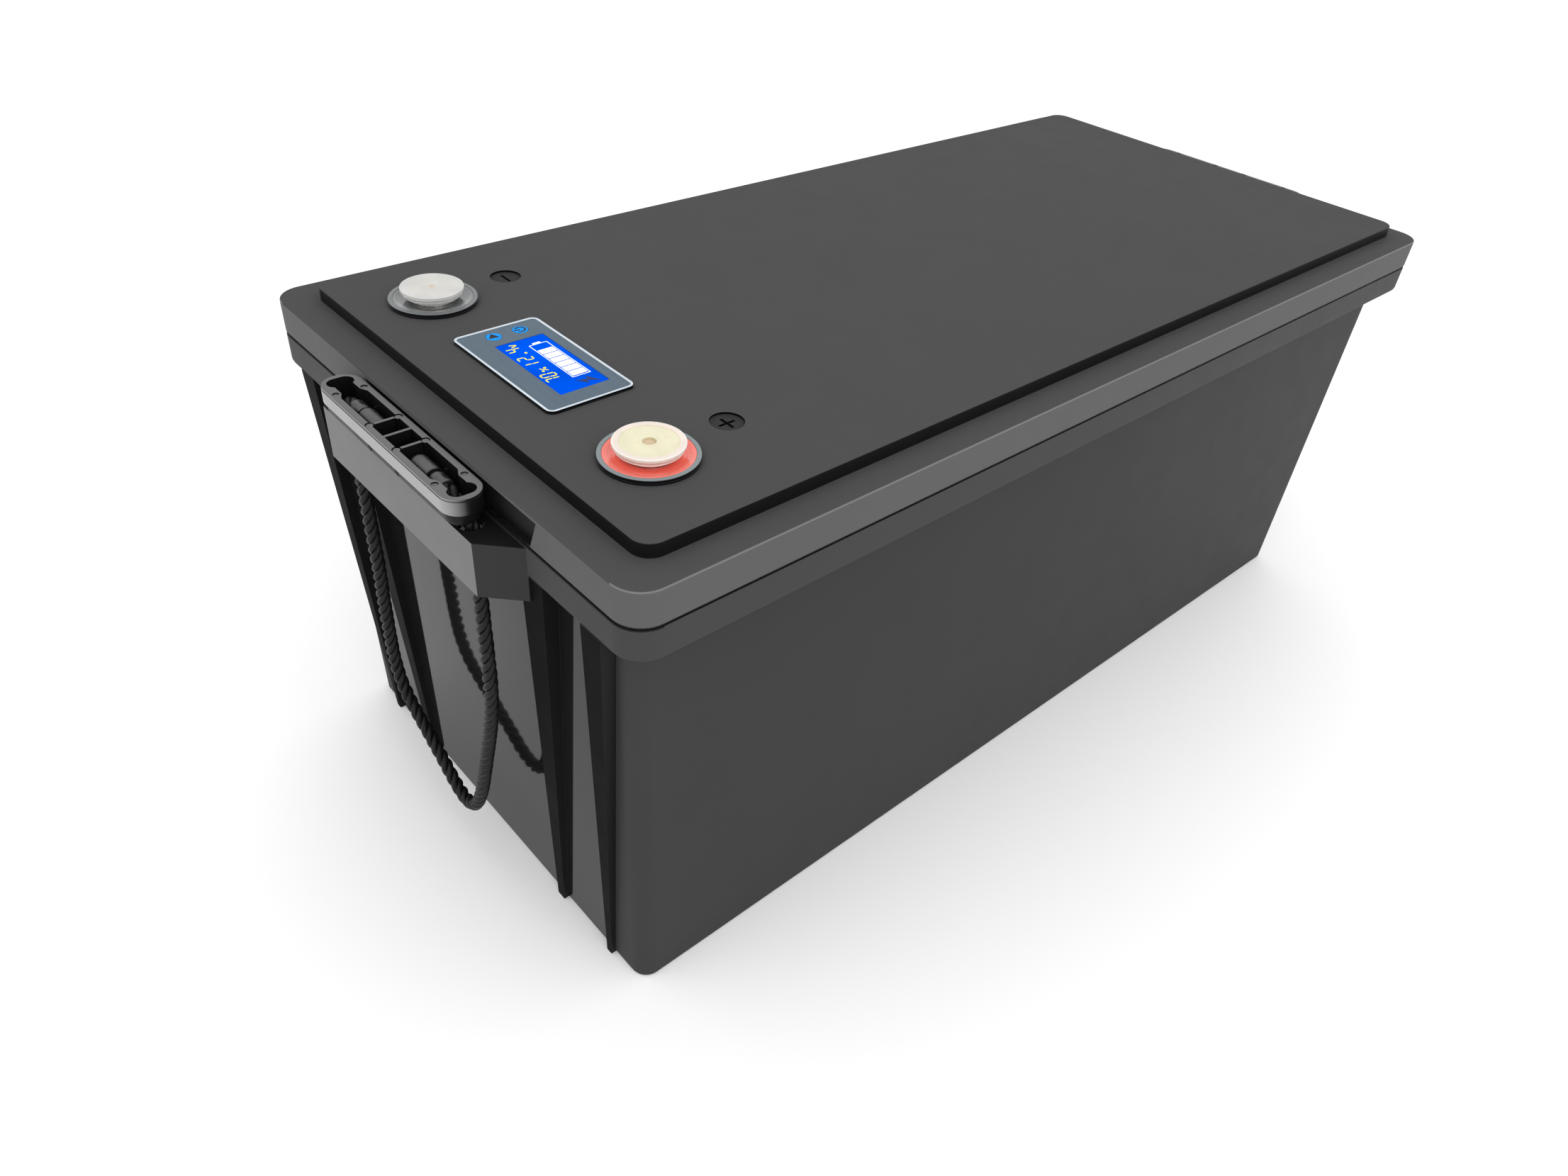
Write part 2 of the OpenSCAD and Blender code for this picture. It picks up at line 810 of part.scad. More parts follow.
module top_sheet() {
    color([0.78, 0.72, 0.40]) difference() {
        translate([-plate_end, -cell_side, cell_z])
            cube([2*plate_end, 2*cell_side, sheet_z - cell_z]);
        translate([-gap_half + 1, -sheet_slot_l/2, cell_z - 1])
            cube([2*gap_half - 2, sheet_slot_l, 3]);
    }
}

// ---- battery management board ----

module at_bms_holes() {
    for (sx = [-1, 1], sy = [-1, 1])
        translate([bms_x + sx*bms_hole_x, sy*bms_hole_y, 0]) children();
}

module bms_board() {
    color([0.04, 0.22, 0.12]) difference() {
        translate([bms_x, 0, 0]) slab(bms_l, bms_w, 2, bms_z, bms_top);
        at_bms_holes() translate([0, 0, bms_z - 1]) cylinder(r = 1.7, h = 4);
    }
}

module bms_standoffs() {
    color([0.80, 0.66, 0.35]) at_bms_holes() ring(3, 1.6, sheet_z, bms_z);
}

module bms_screws() {
    color([0.75, 0.75, 0.77]) at_bms_holes() {
        translate([0, 0, bms_top]) cylinder(r = 2.8, h = 2);
        translate([0, 0, sheet_z + 1]) cylinder(r = 1.5, h = bms_top - sheet_z);
    }
}

module bms_switches() {
    color([0.09, 0.09, 0.10])
        for (i = [0:switch_count - 1], row = [-1, 1])
            translate([bms_x + switch_pitch*(i - switch_count/2),
                       row*switch_row - switch_w/2, bms_top])
                cube([switch_l, switch_w, switch_h]);
}

module bms_heatsink() {
    base_z = bms_top + switch_h;
    sink_w = (fin_count - 1)*fin_pitch + fin_t;
    color([0.70, 0.72, 0.74]) translate([bms_x - sink_l/2, -sink_w/2, base_z]) {
        cube([sink_l, sink_w, fin_t]);
        for (i = [0:fin_count - 1])
            translate([0, fin_pitch*i, fin_t - slack]) cube([sink_l, fin_t, fin_h]);
    }
}

module bms_connector() {
    color([0.90, 0.90, 0.86]) translate([connector_x, connector_y, bms_top])
        cube([connector_l, connector_w, connector_h]);
}

module balance_ribbon() {
    color([0.55, 0.12, 0.12]) {
        translate([ribbon_x, ribbon_y, bms_top + 1]) cube([-ribbon_x, ribbon_w, ribbon_t]);
        translate([-ribbon_t, ribbon_y, ribbon_foot_z])
            cube([ribbon_t, ribbon_w, bms_top + ribbon_t - ribbon_foot_z]);
    }
}

// A flat bar at height z from one point to the next, with a round eye at its end
module flat_bar(from, to, z, w) {
    d = to - from;
    translate([from[0], from[1], z]) rotate([0, 0, atan2(d[1], d[0])])
        linear_extrude(bar_t) {
            translate([0, -w/2]) square([norm(d), w]);
            translate([norm(d), 0]) circle(bar_end_r);
        }
}

module stud_eye(side) {
    at_terminal(side) translate([0, 0, bar_z - 1]) cylinder(r = stud_r + 0.2, h = bar_t + 2);
}

module positive_bar() {
    color([0.70, 0.12, 0.10]) difference() {
        union() {
            tab(1, -1, post_high_z, -tab_reach, bar_z + bar_t - post_high_z);
            flat_bar([link_x, -post_y], [-bar_bend_x, -post_y], bar_z, bar_w);
            flat_bar([-bar_bend_x, -post_y], [-term_x, -term_y], bar_z, bar_w);
        }
        stud_holes();
        stud_eye(-1);
    }
}

module negative_cell_bar() {
    color([0.12, 0.12, 0.13]) difference() {
        union() {
            tab(-1, -1, post_high_z, -tab_reach, bms_top + bar_t - post_high_z);
            translate([-link_x - cell_bar_l, -post_y - link_w/2, bms_top])
                cube([cell_bar_l + bar_t, link_w, bar_t]);
        }
        stud_holes();
    }
}

module negative_terminal_bar() {
    color([0.13, 0.13, 0.14]) difference() {
        union() {
            translate([-riser_x, riser_y - link_w/2, bms_top]) cube([riser_l, link_w, bar_t]);
            translate([-riser_x, riser_y - link_w/2, bms_top])
                cube([bar_t, link_w, bar_z + bar_t - bms_top]);
            flat_bar([-riser_x + bar_t, riser_y], [-term_x, term_y], bar_z, bar_w);
        }
        stud_eye(1);
    }
}

container();
lid();
lid_seal();
terminal_gasket(-1);  // positive_gasket
terminal_ring(-1);  // positive_ring
terminal_seal(-1, [1.0, 0.35, 0.31]);  // positive_seal
terminal_post(-1);  // positive_post
terminal_nut(-1);  // positive_nut
terminal_cap(-1, cap_dimple_r, [0.91, 0.89, 0.79]);  // positive_cap
terminal_gasket(1);  // negative_gasket
terminal_ring(1);  // negative_ring
terminal_seal(1, [0.55, 0.57, 0.58]);  // negative_seal
terminal_post(1);  // negative_post
terminal_nut(1);  // negative_nut
terminal_cap(1, 0, [0.85, 0.85, 0.83]);  // negative_cap
meter_gasket();
meter_bezel();
meter_fascia();
meter_display();
meter_housing();
meter_board();
meter_switches();
meter_button(1);  // meter_power_button
meter_button(-1);  // meter_arrow_button
grip();  // near_grip
rope();  // near_rope
ferrules();  // near_ferrules
rotate([0, 0, 180]) grip();  // far_grip
rotate([0, 0, 180]) rope();  // far_rope
rotate([0, 0, 180]) ferrules();  // far_ferrules
cell(-1, -1);  // cell_1
cell(-1, 1);  // cell_2
cell(1, 1);  // cell_3
cell(1, -1);  // cell_4
cell_posts();
cell_divider();
end_link(-1);  // link_near
end_link(1);  // link_far
link_cross();
link_nuts();
base_pad();
end_plates();
cell_bands();
side_foam();
end_foam();
top_sheet();
bms_board();
bms_standoffs();
bms_screws();
bms_switches();
bms_heatsink();
bms_connector();
balance_ribbon();
positive_bar();
negative_cell_bar();
negative_terminal_bar();
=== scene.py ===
"""Deep cycle battery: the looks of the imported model, and its studio."""

import math

import bmesh
import bpy
from mathutils import Matrix, Vector


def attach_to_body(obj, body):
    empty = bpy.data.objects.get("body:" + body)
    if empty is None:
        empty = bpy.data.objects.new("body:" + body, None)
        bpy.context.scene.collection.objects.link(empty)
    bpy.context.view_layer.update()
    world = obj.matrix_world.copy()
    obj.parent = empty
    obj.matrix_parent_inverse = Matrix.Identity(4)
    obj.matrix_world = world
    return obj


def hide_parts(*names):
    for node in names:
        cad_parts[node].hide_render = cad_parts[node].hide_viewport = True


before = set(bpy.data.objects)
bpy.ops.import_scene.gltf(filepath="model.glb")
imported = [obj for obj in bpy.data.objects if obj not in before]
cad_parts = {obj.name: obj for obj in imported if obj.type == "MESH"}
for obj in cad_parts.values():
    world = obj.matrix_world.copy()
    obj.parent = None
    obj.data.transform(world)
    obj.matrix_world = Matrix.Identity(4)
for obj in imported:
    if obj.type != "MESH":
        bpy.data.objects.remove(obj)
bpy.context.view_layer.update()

MM = 0.001
TAU = 2 * math.pi
HALF_TURN = Matrix.Rotation(math.pi, 4, "Z")
ENDS = (("near", False), ("far", True))
SIGNS = {-1: "positive", 1: "negative"}

# ---- sizes in millimetres, the same as the model's ----

# Rounded rectangles in plan: length, width and corner radius
RIM = RIM_L, RIM_W, RIM_R = 498, 240, 11
BODY = BODY_L, BODY_W, BODY_R = 486, 219.5, 8
FOOT_L = 478
FOOT = FOOT_L, 218, 7
PANEL = 475.3, 216.2, 7
PANEL_X = 1.35
WALL = 3
RIM_Z, SEAM_Z, LID_Z, FLANGE_Z, TOP_Z = 178.5, 191, 191.8, 205, 210.3

LEDGE_X, LEDGE_FRONT, LEDGE_FOOT = 261, 52, 64
LEDGE_LOW, LEDGE_TOP, LEDGE_WALL = 169, 190, 2
ROPE_HOLE_R, ROPE_X, ROPE_Y, ROPE_D = 4.2, 255.5, 42.5, 5.6
NOTCH_LOW, NOTCH_HIGH, NOTCH_TOP, NOTCH_DEPTH, NOTCH_END = 66, 71, 203.2, 4, 38
# Each rib's two sides at the rim and at the foot, then every rib's back and front there
RIBS = ((58.5, 71.5, 52, 56.5), (92.5, 103, 87.5, 90.5))
RIB_TOP_X, RIB_FOOT_X = (241.5, 248.9), (237.5, 241)

GRIP_X, GRIP_L, GRIP_R, GRIP_AXIS_Z, GRIP_RIM_Z = 257, 95, 7.25, 197.25, 203
BAND_Z = GRIP_AXIS_Z - 0.5
TROUGH_W, TROUGH_Z, TROUGH_END_Y = 9.6, 193.65, 34
PARTITION_Y, PARTITION_T = 10, 1.2
KEYHOLE_Y, KEYHOLE_R, KEYHOLE_SPREAD = 41.9, 3.2, 1.6
NECK_W = 6.6
PIN_X, PIN_Y, PIN_R, PIN_DEPTH = 5.1, 34.4, 1.25, 0.5
FERRULE_Z, FERRULE_Y, FERRULE_R, FERRULE_L = 197.5, 11.5, 3.7, 12
GROOVE_R, GROOVE_L, CRIMP_R, CRIMP_L = 2.9, 1.5, 3.3, 6.5

TERM_X, TERM_Y = 205.8, 69.2
RING_R, SEAL_R, POST_R = 16.6, 15, 8
GASKET_TOP, GASKET_IN, RING_TOP, POST_TOP, THREAD_DEPTH = 211.5, 13, 212.1, 214.6, 12
STUD_R, STUD_LOW, POST_FLANGE_R, POST_FLANGE_LOW = 4, 189, 11, 201.5
CAP_R, CAP_TIER_R, CAP_WALL_R, CAP_FACE_R = 11.9, 11.1, 9.8, 9.85
CAP_LOW, CAP_TIER_LOW, CAP_TIER_Z, CAP_TOP = 212.5, 213.6, 215.1, 216.3
DIMPLE_R, DIMPLE_L, GATE_R = 2.3, 0.9, 1
ROUNDEL_X, ROUNDEL_Y, ROUNDEL_SHIFT, ROUNDEL_R, ROUNDEL_DEPTH = 171.3, 70.2, 4.3, 6.1, 0.9
MARK_L, MARK_W, MARK_DEPTH = 6.7, 1, 0.5

METER_X, METER_Y, METER_W, METER_L, METER_R = 199.85, 2.35, 35, 65, 3
BEZEL_Z, BEZEL_TOP, BEZEL_T, FASCIA_TOP, FASCIA_R = 210.7, 211.4, 1, 211.2, 1.8
METER_HOLE_INSET, METER_HOLE_R = 0.8, 1
WINDOW_X, WINDOW_Y, WINDOW_W, WINDOW_L = 197.5, -0.1, 20, 43
DISPLAY_TOP, CARRIER_Z = 211.0, 207.5
BUTTON_X, BUTTON_GAP, BUTTON_Y, BUTTON_R = 198.2, 5.5, 28.35, 2.9
BUTTON_LOW, BUTTON_TOP = 209.5, 211.3

# The near rope's centre line, from one ferrule round to the other
ROPE_ROUTE = (
    (-257, -31.5, 197.5), (-257, -34, 197.5), (-256.7, -37.5, 196), (-256.4, -40, 193.5),
    (-256, -42, 190.4), (-255.5, -42.5, 186.5), (-255.5, -42.5, 172), (-255.5, -42.5, 158),
    (-255.5, -42.5, 144), (-255.5, -42.5, 130), (-255.5, -42, 117), (-255.5, -40, 104),
    (-255.5, -36.8, 91), (-255.5, -33, 78.5), (-255.5, -29.2, 66), (-255.5, -25.5, 54),
    (-255.5, -21.3, 43), (-255.5, -16, 33.5), (-255.5, -9, 29), (-255.5, -1, 30),
    (-255.5, 7, 35.3), (-255.5, 18, 43), (-255.5, 29, 50), (-255.5, 37, 56),
    (-255.5, 42, 64), (-255.5, 44, 75), (-255.5, 44, 90), (-255.5, 43.5, 105),
    (-255.5, 42.5, 120), (-255.5, 42.5, 138), (-255.5, 42.5, 155), (-255.5, 42.5, 171),
    (-255.5, 42.5, 186.5), (-256, 42, 190.4), (-256.4, 40, 193.5), (-256.7, 37.5, 196),
    (-257, 34, 197.5), (-257, 31.5, 197.5),
)
ROPE_LAY, STRAND_R, HELIX_R = 13.5, 1.36, 1.42
ROPE_STEP = 0.7


# ---- camera ----


def make_camera():
    azimuth, elevation, roll = (math.radians(v) for v in (-44.91, 38.06, 5.11))
    back = Vector((
        math.sin(azimuth) * math.cos(elevation),
        -math.cos(azimuth) * math.cos(elevation),
        math.sin(elevation),
    ))
    right = Vector((0, 0, 1)).cross(back).normalized()
    up = back.cross(right)
    turned_right = math.cos(roll) * right + math.sin(roll) * up
    turned_up = -math.sin(roll) * right + math.cos(roll) * up
    data = bpy.data.cameras.new("camera")
    data.lens = 26.09
    data.sensor_width = 36
    camera = bpy.data.objects.new("camera", data)
    bpy.context.scene.collection.objects.link(camera)
    turn = Matrix((turned_right, turned_up, back)).transposed().to_4x4()
    place = Vector((-388.99, -318.23, 402.05)) * MM
    camera.matrix_world = Matrix.Translation(place) @ turn
    bpy.context.scene.camera = camera


make_camera()


# ---- materials ----

# The part of its output that a noise mostly keeps to
NOISE_LOW, NOISE_HIGH = 0.3, 0.7


def set_values(node, values):
    for socket, value in values.items():
        node.inputs[socket].default_value = value


def new_material(name):
    material = bpy.data.materials.new(name)
    material.use_nodes = True
    nodes = material.node_tree.nodes
    nodes.clear()
    shader = nodes.new("ShaderNodeBsdfPrincipled")
    output = nodes.new("ShaderNodeOutputMaterial")
    link(shader.outputs["BSDF"], output, "Surface")
    return material, shader


def new_node(shader, kind, values):
    """A node in the shader's own tree, with its plain values set."""
    node = shader.id_data.nodes.new("ShaderNode" + kind)
    set_values(node, values)
    return node


def link(output, node, socket):
    node.id_data.links.new(output, node.inputs[socket])


def texture(shader, kind, values, stretch=(1, 1, 1)):
    """A texture fixed to the piece, with its scale in cycles to the metre."""
    coords = new_node(shader, "TexCoord", {})
    mapping = new_node(shader, "Mapping", {"Scale": stretch})
    pattern = new_node(shader, "Tex" + kind, values)
    link(coords.outputs["Object"], mapping, "Vector")
    link(mapping.outputs["Vector"], pattern, "Vector")
    return pattern


def noise(shader, scale, detail=3, stretch=(1, 1, 1)):
    pattern = texture(shader, "Noise", {"Scale": scale, "Detail": detail}, stretch)
    return pattern.outputs["Fac"]


def colour_range(shader, factor, dark, light):
    ramp = new_node(shader, "ValToRGB", {})
    first, last = ramp.color_ramp.elements
    first.position, last.position = NOISE_LOW, NOISE_HIGH
    first.color, last.color = (*dark, 1), (*light, 1)
    link(factor, ramp, "Fac")
    link(ramp.outputs["Color"], shader, "Base Color")


def roughness_range(shader, factor, low, high):
    remap = new_node(shader, "MapRange", {
        "From Min": NOISE_LOW, "From Max": NOISE_HIGH, "To Min": low, "To Max": high})
    link(factor, remap, "Value")
    link(remap.outputs["Result"], shader, "Roughness")


def relief(shader, height, depth):
    bump = new_node(shader, "Bump", {"Strength": 1, "Distance": depth})
    link(height, bump, "Height")
    link(bump.outputs["Normal"], shader, "Normal")


def shades(colour, amounts):
    return [tuple(min(1.0, c * amount) for c in colour) for amount in amounts]


def surface(name, colour, drift, spread, patches, rough, grain=None, depth=0, values=None):
    """
    A surface of three noises: drift spreads the colour, patches the roughness, grain is relief.

    Each noise is a scale, and where it matters a detail and a stretch.
    """
    material, shader = new_material(name)
    colour_range(shader, noise(shader, *drift), *shades(colour, spread))
    roughness_range(shader, noise(shader, *patches), *rough)
    if grain:
        relief(shader, noise(shader, *grain), depth)
    set_values(shader, values or {})
    return material


def regular(name, colour, kind, scale, spread, rough, depth, output="Fac", patches=None):
    """A surface that follows one regular texture, its roughness too unless it has patches."""
    material, shader = new_material(name)
    pattern = texture(shader, kind, {"Scale": scale})
    if kind == "Wave":
        pattern.bands_direction = "Y"
    factor = pattern.outputs[output]
    colour_range(shader, factor, *shades(colour, spread))
    roughness_range(shader, noise(shader, patches) if patches else factor, *rough)
    relief(shader, factor, depth)
    return material


def moulded(name, tone, rough, gloss=0.2, grain=0.00002, vary=0.06):
    """Moulded plastic: slow drift of tone and gloss under a fine moulded grain."""
    colour = tone if isinstance(tone, tuple) else (tone, tone, tone * 1.02)
    return surface(
        name, colour, (18,), (1 - vary, 1 + vary), (70, 4), (rough * 0.95, rough * 1.07),
        (1400, 2), grain, {"Specular IOR Level": gloss})


def shaded_band(name, outward):
    """The grip's side band with painted light and shade: light where it faces out of the end,
    dark where it turns in.
    """
    material, shader = new_material(name)
    coords = new_node(shader, "TexCoord", {})
    split = new_node(shader, "SeparateXYZ", {})
    facing = new_node(shader, "Math", {1: 0.5 * outward, 2: 0.2})
    facing.operation = "MULTIPLY_ADD"
    link(coords.outputs["Normal"], split, "Vector")
    link(split.outputs["X"], facing, 0)
    colour_range(shader, facing.outputs["Value"], (0.006,) * 3, (0.30,) * 3)
    roughness_range(shader, noise(shader, 70, 4), 0.22, 0.34)
    relief(shader, noise(shader, 1400, 2), 0.00001)
    set_values(shader, {"Specular IOR Level": 0.15})
    return material


def translucent_nylon(name, colour, glow=0.25):
    """Cloudy moulded nylon that lets some light into itself."""
    return surface(
        name, colour, (140,), (0.93, 1.05), (300,), (0.28, 0.4), (2200, 2), 0.00001,
        {"Subsurface Weight": glow, "Subsurface Radius": (1.0, 0.8, 0.6),
         "Subsurface Scale": 0.002})


def glossy_silicone(name, colour):
    return surface(
        name, colour, (120,), (0.94, 1.04), (400,), (0.1, 0.18),
        values={"Coat Weight": 0.35, "Coat Roughness": 0.08, "Subsurface Weight": 0.15,
                "Subsurface Radius": (1.0, 0.3, 0.2), "Subsurface Scale": 0.002})


def rubber(name, colour, rough=0.5, gloss=0.5):
    return surface(
        name, colour, (200,), (0.8, 1.3), (350,), (rough - 0.08, rough + 0.08),
        (3000, 2), 0.00002, {"Specular IOR Level": gloss})


def metal(name, colour, low, high, stretch=(1, 1, 1)):
    lines = 900, 4, stretch
    return surface(
        name, colour, (90,), (0.9, 1.05), lines, (low, high), lines, 0.00001, {"Metallic": 1})


def printed_film(name, colour):
    """A satin film with a faint brushed print across it."""
    return surface(
        name, colour, (700, 3, (1, 0.04, 1)), (0.95, 1.05), (300,), (0.3, 0.42),
        (2500, 2), 0.000008, {"Specular IOR Level": 0.08})


def lit(name, colour, light, drift, spread, patches, gloss):
    return surface(
        name, colour, drift, spread, patches, (0.2, 0.3),
        values={"Specular IOR Level": gloss, "Emission Color": (*colour, 1),
                "Emission Strength": light})


def lit_display(name, colour, light):
    """The backlit field of the display, a little uneven across its diffuser."""
    return lit(name, colour, light, (60, 2), (0.85, 1.1), (500,), 0)


def lit_mark(name, colour, light):
    """A lit segment of the display."""
    return lit(name, colour, light, (400,), (0.92, 1.05), (700,), 0.12)


def twisted_yarn(name):
    """Black synthetic yarn with a fine fibre along each strand and a slight sheen."""
    fibre = 2600, 4, (1, 1, 0.25)
    return surface(
        name, (0.008,) * 3, fibre, (0.375, 1.625), (900,), (0.35, 0.5), fibre, 0.00012,
        {"Specular IOR Level": 0.2})


def closed_cell_foam(name):
    return regular(
        name, (0.025,) * 3, "Voronoi", 900, (1.4, 0.6), (0.75, 0.95), 0.0002, "Distance")


def shrink_film(name, colour):
    """Glossy film shrunk on a can, with shallow wrinkles."""
    wrinkles = 45, 5, (1, 1, 0.2)
    return surface(
        name, colour, wrinkles, (0.85, 1.1), (120,), (0.16, 0.28), wrinkles, 0.0003,
        {"Coat Weight": 0.4})


def glass_epoxy(name, colour):
    """Woven glass sheet under clear resin."""
    return regular(
        name, colour, "Checker", 1300, (1.06, 0.92), (0.22, 0.4), 0.00002, patches=200)


def ribbon_cable(name, colour):
    """Fine parallel wires in one flat jacket."""
    return regular(name, colour, "Wave", 120, (0.6, 1.1), (0.35, 0.5), 0.0003)


def pale_floor(name):
    return surface(name, (1, 1, 1), (1.5,), (0.95, 0.96), (4,), (0.75, 0.9))


END_WALL = moulded("case_abs", 0.009, 0.05, 0.14, 0.000001)
SIDE_WALL = moulded("side_abs", 0.041, 0.45, 0.03, vary=0.02)
RIM_BAND = moulded("rim_abs", 0.049, 0.45, 0.04, vary=0.02)
LID_TOP = moulded("lid_abs", 0.062, 0.60, 0.02, 0.000012, 0.015)
FLANGE_FACE = moulded("flange_abs", 0.064, 0.60, 0.02, vary=0.015)
# A painted highlight: a light line along the lid's outer edge on the long sides
EDGE_HIGHLIGHT = moulded("edge_highlight_abs", 0.150, 0.40, 0.1, vary=0.03)
# Painted light: the skirt is the lid's own ABS in a lighter tone for the light it catches
LIT_SKIRT = moulded("skirt_lit_abs", 0.094, 0.50, 0.04, vary=0.02)
LEDGE_FACE = moulded("ledge_abs", 0.124, 0.40, 0.15, vary=0.02)
CHAMFER_FACE = moulded("chamfer_abs", 0.026, 0.40, 0.1)
# Painted shade: the ledge's top and underside, the ribs' sides and the rim just under the lid
PAINTED_SHADE_FACE = moulded("shaded_abs", 0.008, 0.50, 0.1)
# Painted shade: the recess behind the grip and the lid's hidden inside
NOTCH_SHADE = moulded("notch_shade_abs", 0.026, 0.50, 0.05)
RIB_FACE = moulded("rib_abs", 0.0025, 0.50, 0.02)
STEP_FACE = moulded("step_abs", 0.006, 0.40, 0.1)
ROUNDEL_FACE = moulded("roundel_abs", 0.034, 0.50, 0.02)
# The signs' own black, and painted shade on the wall of each sunk disc
SIGN_AND_SHADE_FACE = moulded("sign_and_shade_abs", 0.002, 0.50, 0.02)
BLACK_RUBBER = rubber("black_rubber", (0.006, 0.006, 0.007), 0.3)
GASKET_BLACK = rubber("gasket_black", (0.003, 0.003, 0.004), 0.2, 0.25)
RING_GREY = moulded("ring_grey", (0.19, 0.225, 0.235), 0.35, 0.3)
SEAL_RED = glossy_silicone("seal_red", (0.98, 0.165, 0.12))
SEAL_GREY = glossy_silicone("seal_grey", (0.125, 0.132, 0.136))
RING_DARK = moulded("ring_dark", (0.13, 0.14, 0.145), 0.3, 0.4)
CAP_CREAM = translucent_nylon("cap_cream", (0.68, 0.645, 0.455))
# A painted highlight on the positive cap's rim and on the thin lip of its tier
CAP_RIM_HIGHLIGHT = translucent_nylon("cap_rim_highlight", (0.74, 0.70, 0.66), 0.4)
CAP_EDGE = translucent_nylon("cap_edge", (0.72, 0.63, 0.56), 0.4)
# Painted shade: the positive cap's tier under its disc, in a darker pink
CAP_TIER = translucent_nylon("cap_tier_shade", (0.62, 0.42, 0.37), 0.4)
CAP_WHITE = translucent_nylon("cap_white", (0.51, 0.50, 0.465))
CAP_GATE = translucent_nylon("cap_gate", (0.58, 0.44, 0.28))
BRASS = metal("post_brass", (0.70, 0.68, 0.63), 0.22, 0.38)
STEEL = metal("nut_steel", (0.60, 0.61, 0.62), 0.25, 0.4)
CAP_CLOUD = translucent_nylon("cap_cloud", (0.50, 0.50, 0.49), 0.4)
BEZEL = moulded("bezel_silver", (0.54, 0.60, 0.66), 0.3, 0.3, 0.000005)
FASCIA = printed_film("fascia_grey", (0.082, 0.118, 0.152))
DISPLAY = lit_display("display_blue", (0.0, 0.075, 0.66), 0.1)
YELLOW = lit_mark("display_yellow", (0.80, 0.74, 0.03), 0.2)
WHITE = lit_mark("display_white", (0.80, 0.85, 0.90), 0.3)
NAVY = lit_mark("display_navy", (0.0, 0.015, 0.12), 0.0)
HOUSING = moulded("housing_black", 0.03, 0.5)
BUTTON_BLUE = moulded("button_blue", (0.008, 0.27, 0.76), 0.35, 0.02, 0.000005)
INK = rubber("button_ink", (0.003, 0.003, 0.004), 0.45, 0.15)
GRIP_RIM = moulded("grip_grey", 0.118, 0.40, 0.12)
# Painted light and shade on each grip's side band, turned with the grip
NEAR_BAND = shaded_band("near_grip_band", -1)
FAR_BAND = shaded_band("far_grip_band", 1)
# Painted shade: the grip's trough, dimple walls and underside
GRIP_SHADE = moulded("grip_shaded", 0.006, 0.40, 0.1)
ROPE_BLACK = twisted_yarn("rope_black")
FERRULE = metal("ferrule_grey", (0.11, 0.11, 0.11), 0.35, 0.5)
# Painted shade: the ferrule's metal in its groove
FERRULE_GROOVE_SHADE = metal("ferrule_groove_shade", (0.015, 0.015, 0.015), 0.4, 0.55)
CELL_FILM = shrink_film("cell_blue", (0.02, 0.09, 0.35))
POST_METAL = metal("cell_post", (0.78, 0.78, 0.78), 0.2, 0.35)
EPOXY = glass_epoxy("epoxy_sheet", (0.55, 0.47, 0.14))
COPPER = metal("copper", (0.72, 0.37, 0.2), 0.2, 0.38)
FOAM = closed_cell_foam("foam_black")
PLATE = metal("plate_aluminium", (0.70, 0.71, 0.73), 0.25, 0.45, (0.05, 1, 1))
BAND = printed_film("band_green", (0.01, 0.12, 0.04))
BOARD = glass_epoxy("board_green", (0.02, 0.12, 0.05))
SWITCH = moulded("switch_black", 0.04, 0.45)
CONNECTOR = moulded("connector_white", (0.75, 0.75, 0.70), 0.4, 0.4)
RIBBON = ribbon_cable("ribbon_red", (0.30, 0.02, 0.02))
BAR_RED = rubber("bar_red", (0.45, 0.02, 0.015), 0.45)
BAR_BLACK = rubber("bar_black", (0.02, 0.02, 0.02), 0.45)


# ---- mesh tools, in millimetres ----


def rounded_outline(length, width, radius, centre=(0, 0), steps=10):
    points = []
    for k, (sx, sy) in enumerate(((1, 1), (-1, 1), (-1, -1), (1, -1))):
        cx = centre[0] + sx * (length / 2 - radius)
        cy = centre[1] + sy * (width / 2 - radius)
        for i in range(steps + 1):
            angle = math.radians(90 * (k + i / steps))
            points.append((cx + radius * math.cos(angle), cy + radius * math.sin(angle)))
    return points


def stadium_outline(half, radius, centre=(0, 0), steps=20):
    """A capsule along Y: two half circles, "half" from the middle to each one's centre."""
    points = []
    for start, side in ((0, 1), (180, -1)):
        for i in range(steps + 1):
            angle = math.radians(start + 180 * i / steps)
            points.append((
                centre[0] + radius * math.cos(angle),
                centre[1] + side * half + radius * math.sin(angle),
            ))
    return points


def circle_outline(x, y, radius, steps):
    return [
        (x + radius * math.cos(TAU * k / steps), y + radius * math.sin(TAU * k / steps))
        for k in range(steps)
    ]


def rect(x0, x1, y0, y1):
    return [(x0, y0), (x1, y0), (x1, y1), (x0, y1)]


def corner(r, z, *steps):
    """Points of a profile near (r, z), each so far inwards and so far down from it."""
    return [(r - inward, z - down) for inward, down in steps]


def beyond(x, y, length, width, radius):
    """How far (x, y) lies outside a rounded rectangle; negative inside it."""
    dx, dy = abs(x) - (length / 2 - radius), abs(y) - (width / 2 - radius)
    return math.hypot(max(dx, 0), max(dy, 0)) + min(max(dx, dy), 0) - radius


def at_height(outline, z):
    return [(x, y, z) for x, y in outline]


def ring(size, inset, z, x=0):
    """A rounded rectangle of the given size at height z, drawn in all round by inset."""
    length, width, radius = size
    outline = rounded_outline(
        length - 2 * inset, width - 2 * inset, radius - inset, (x, 0))
    return at_height(outline, z)


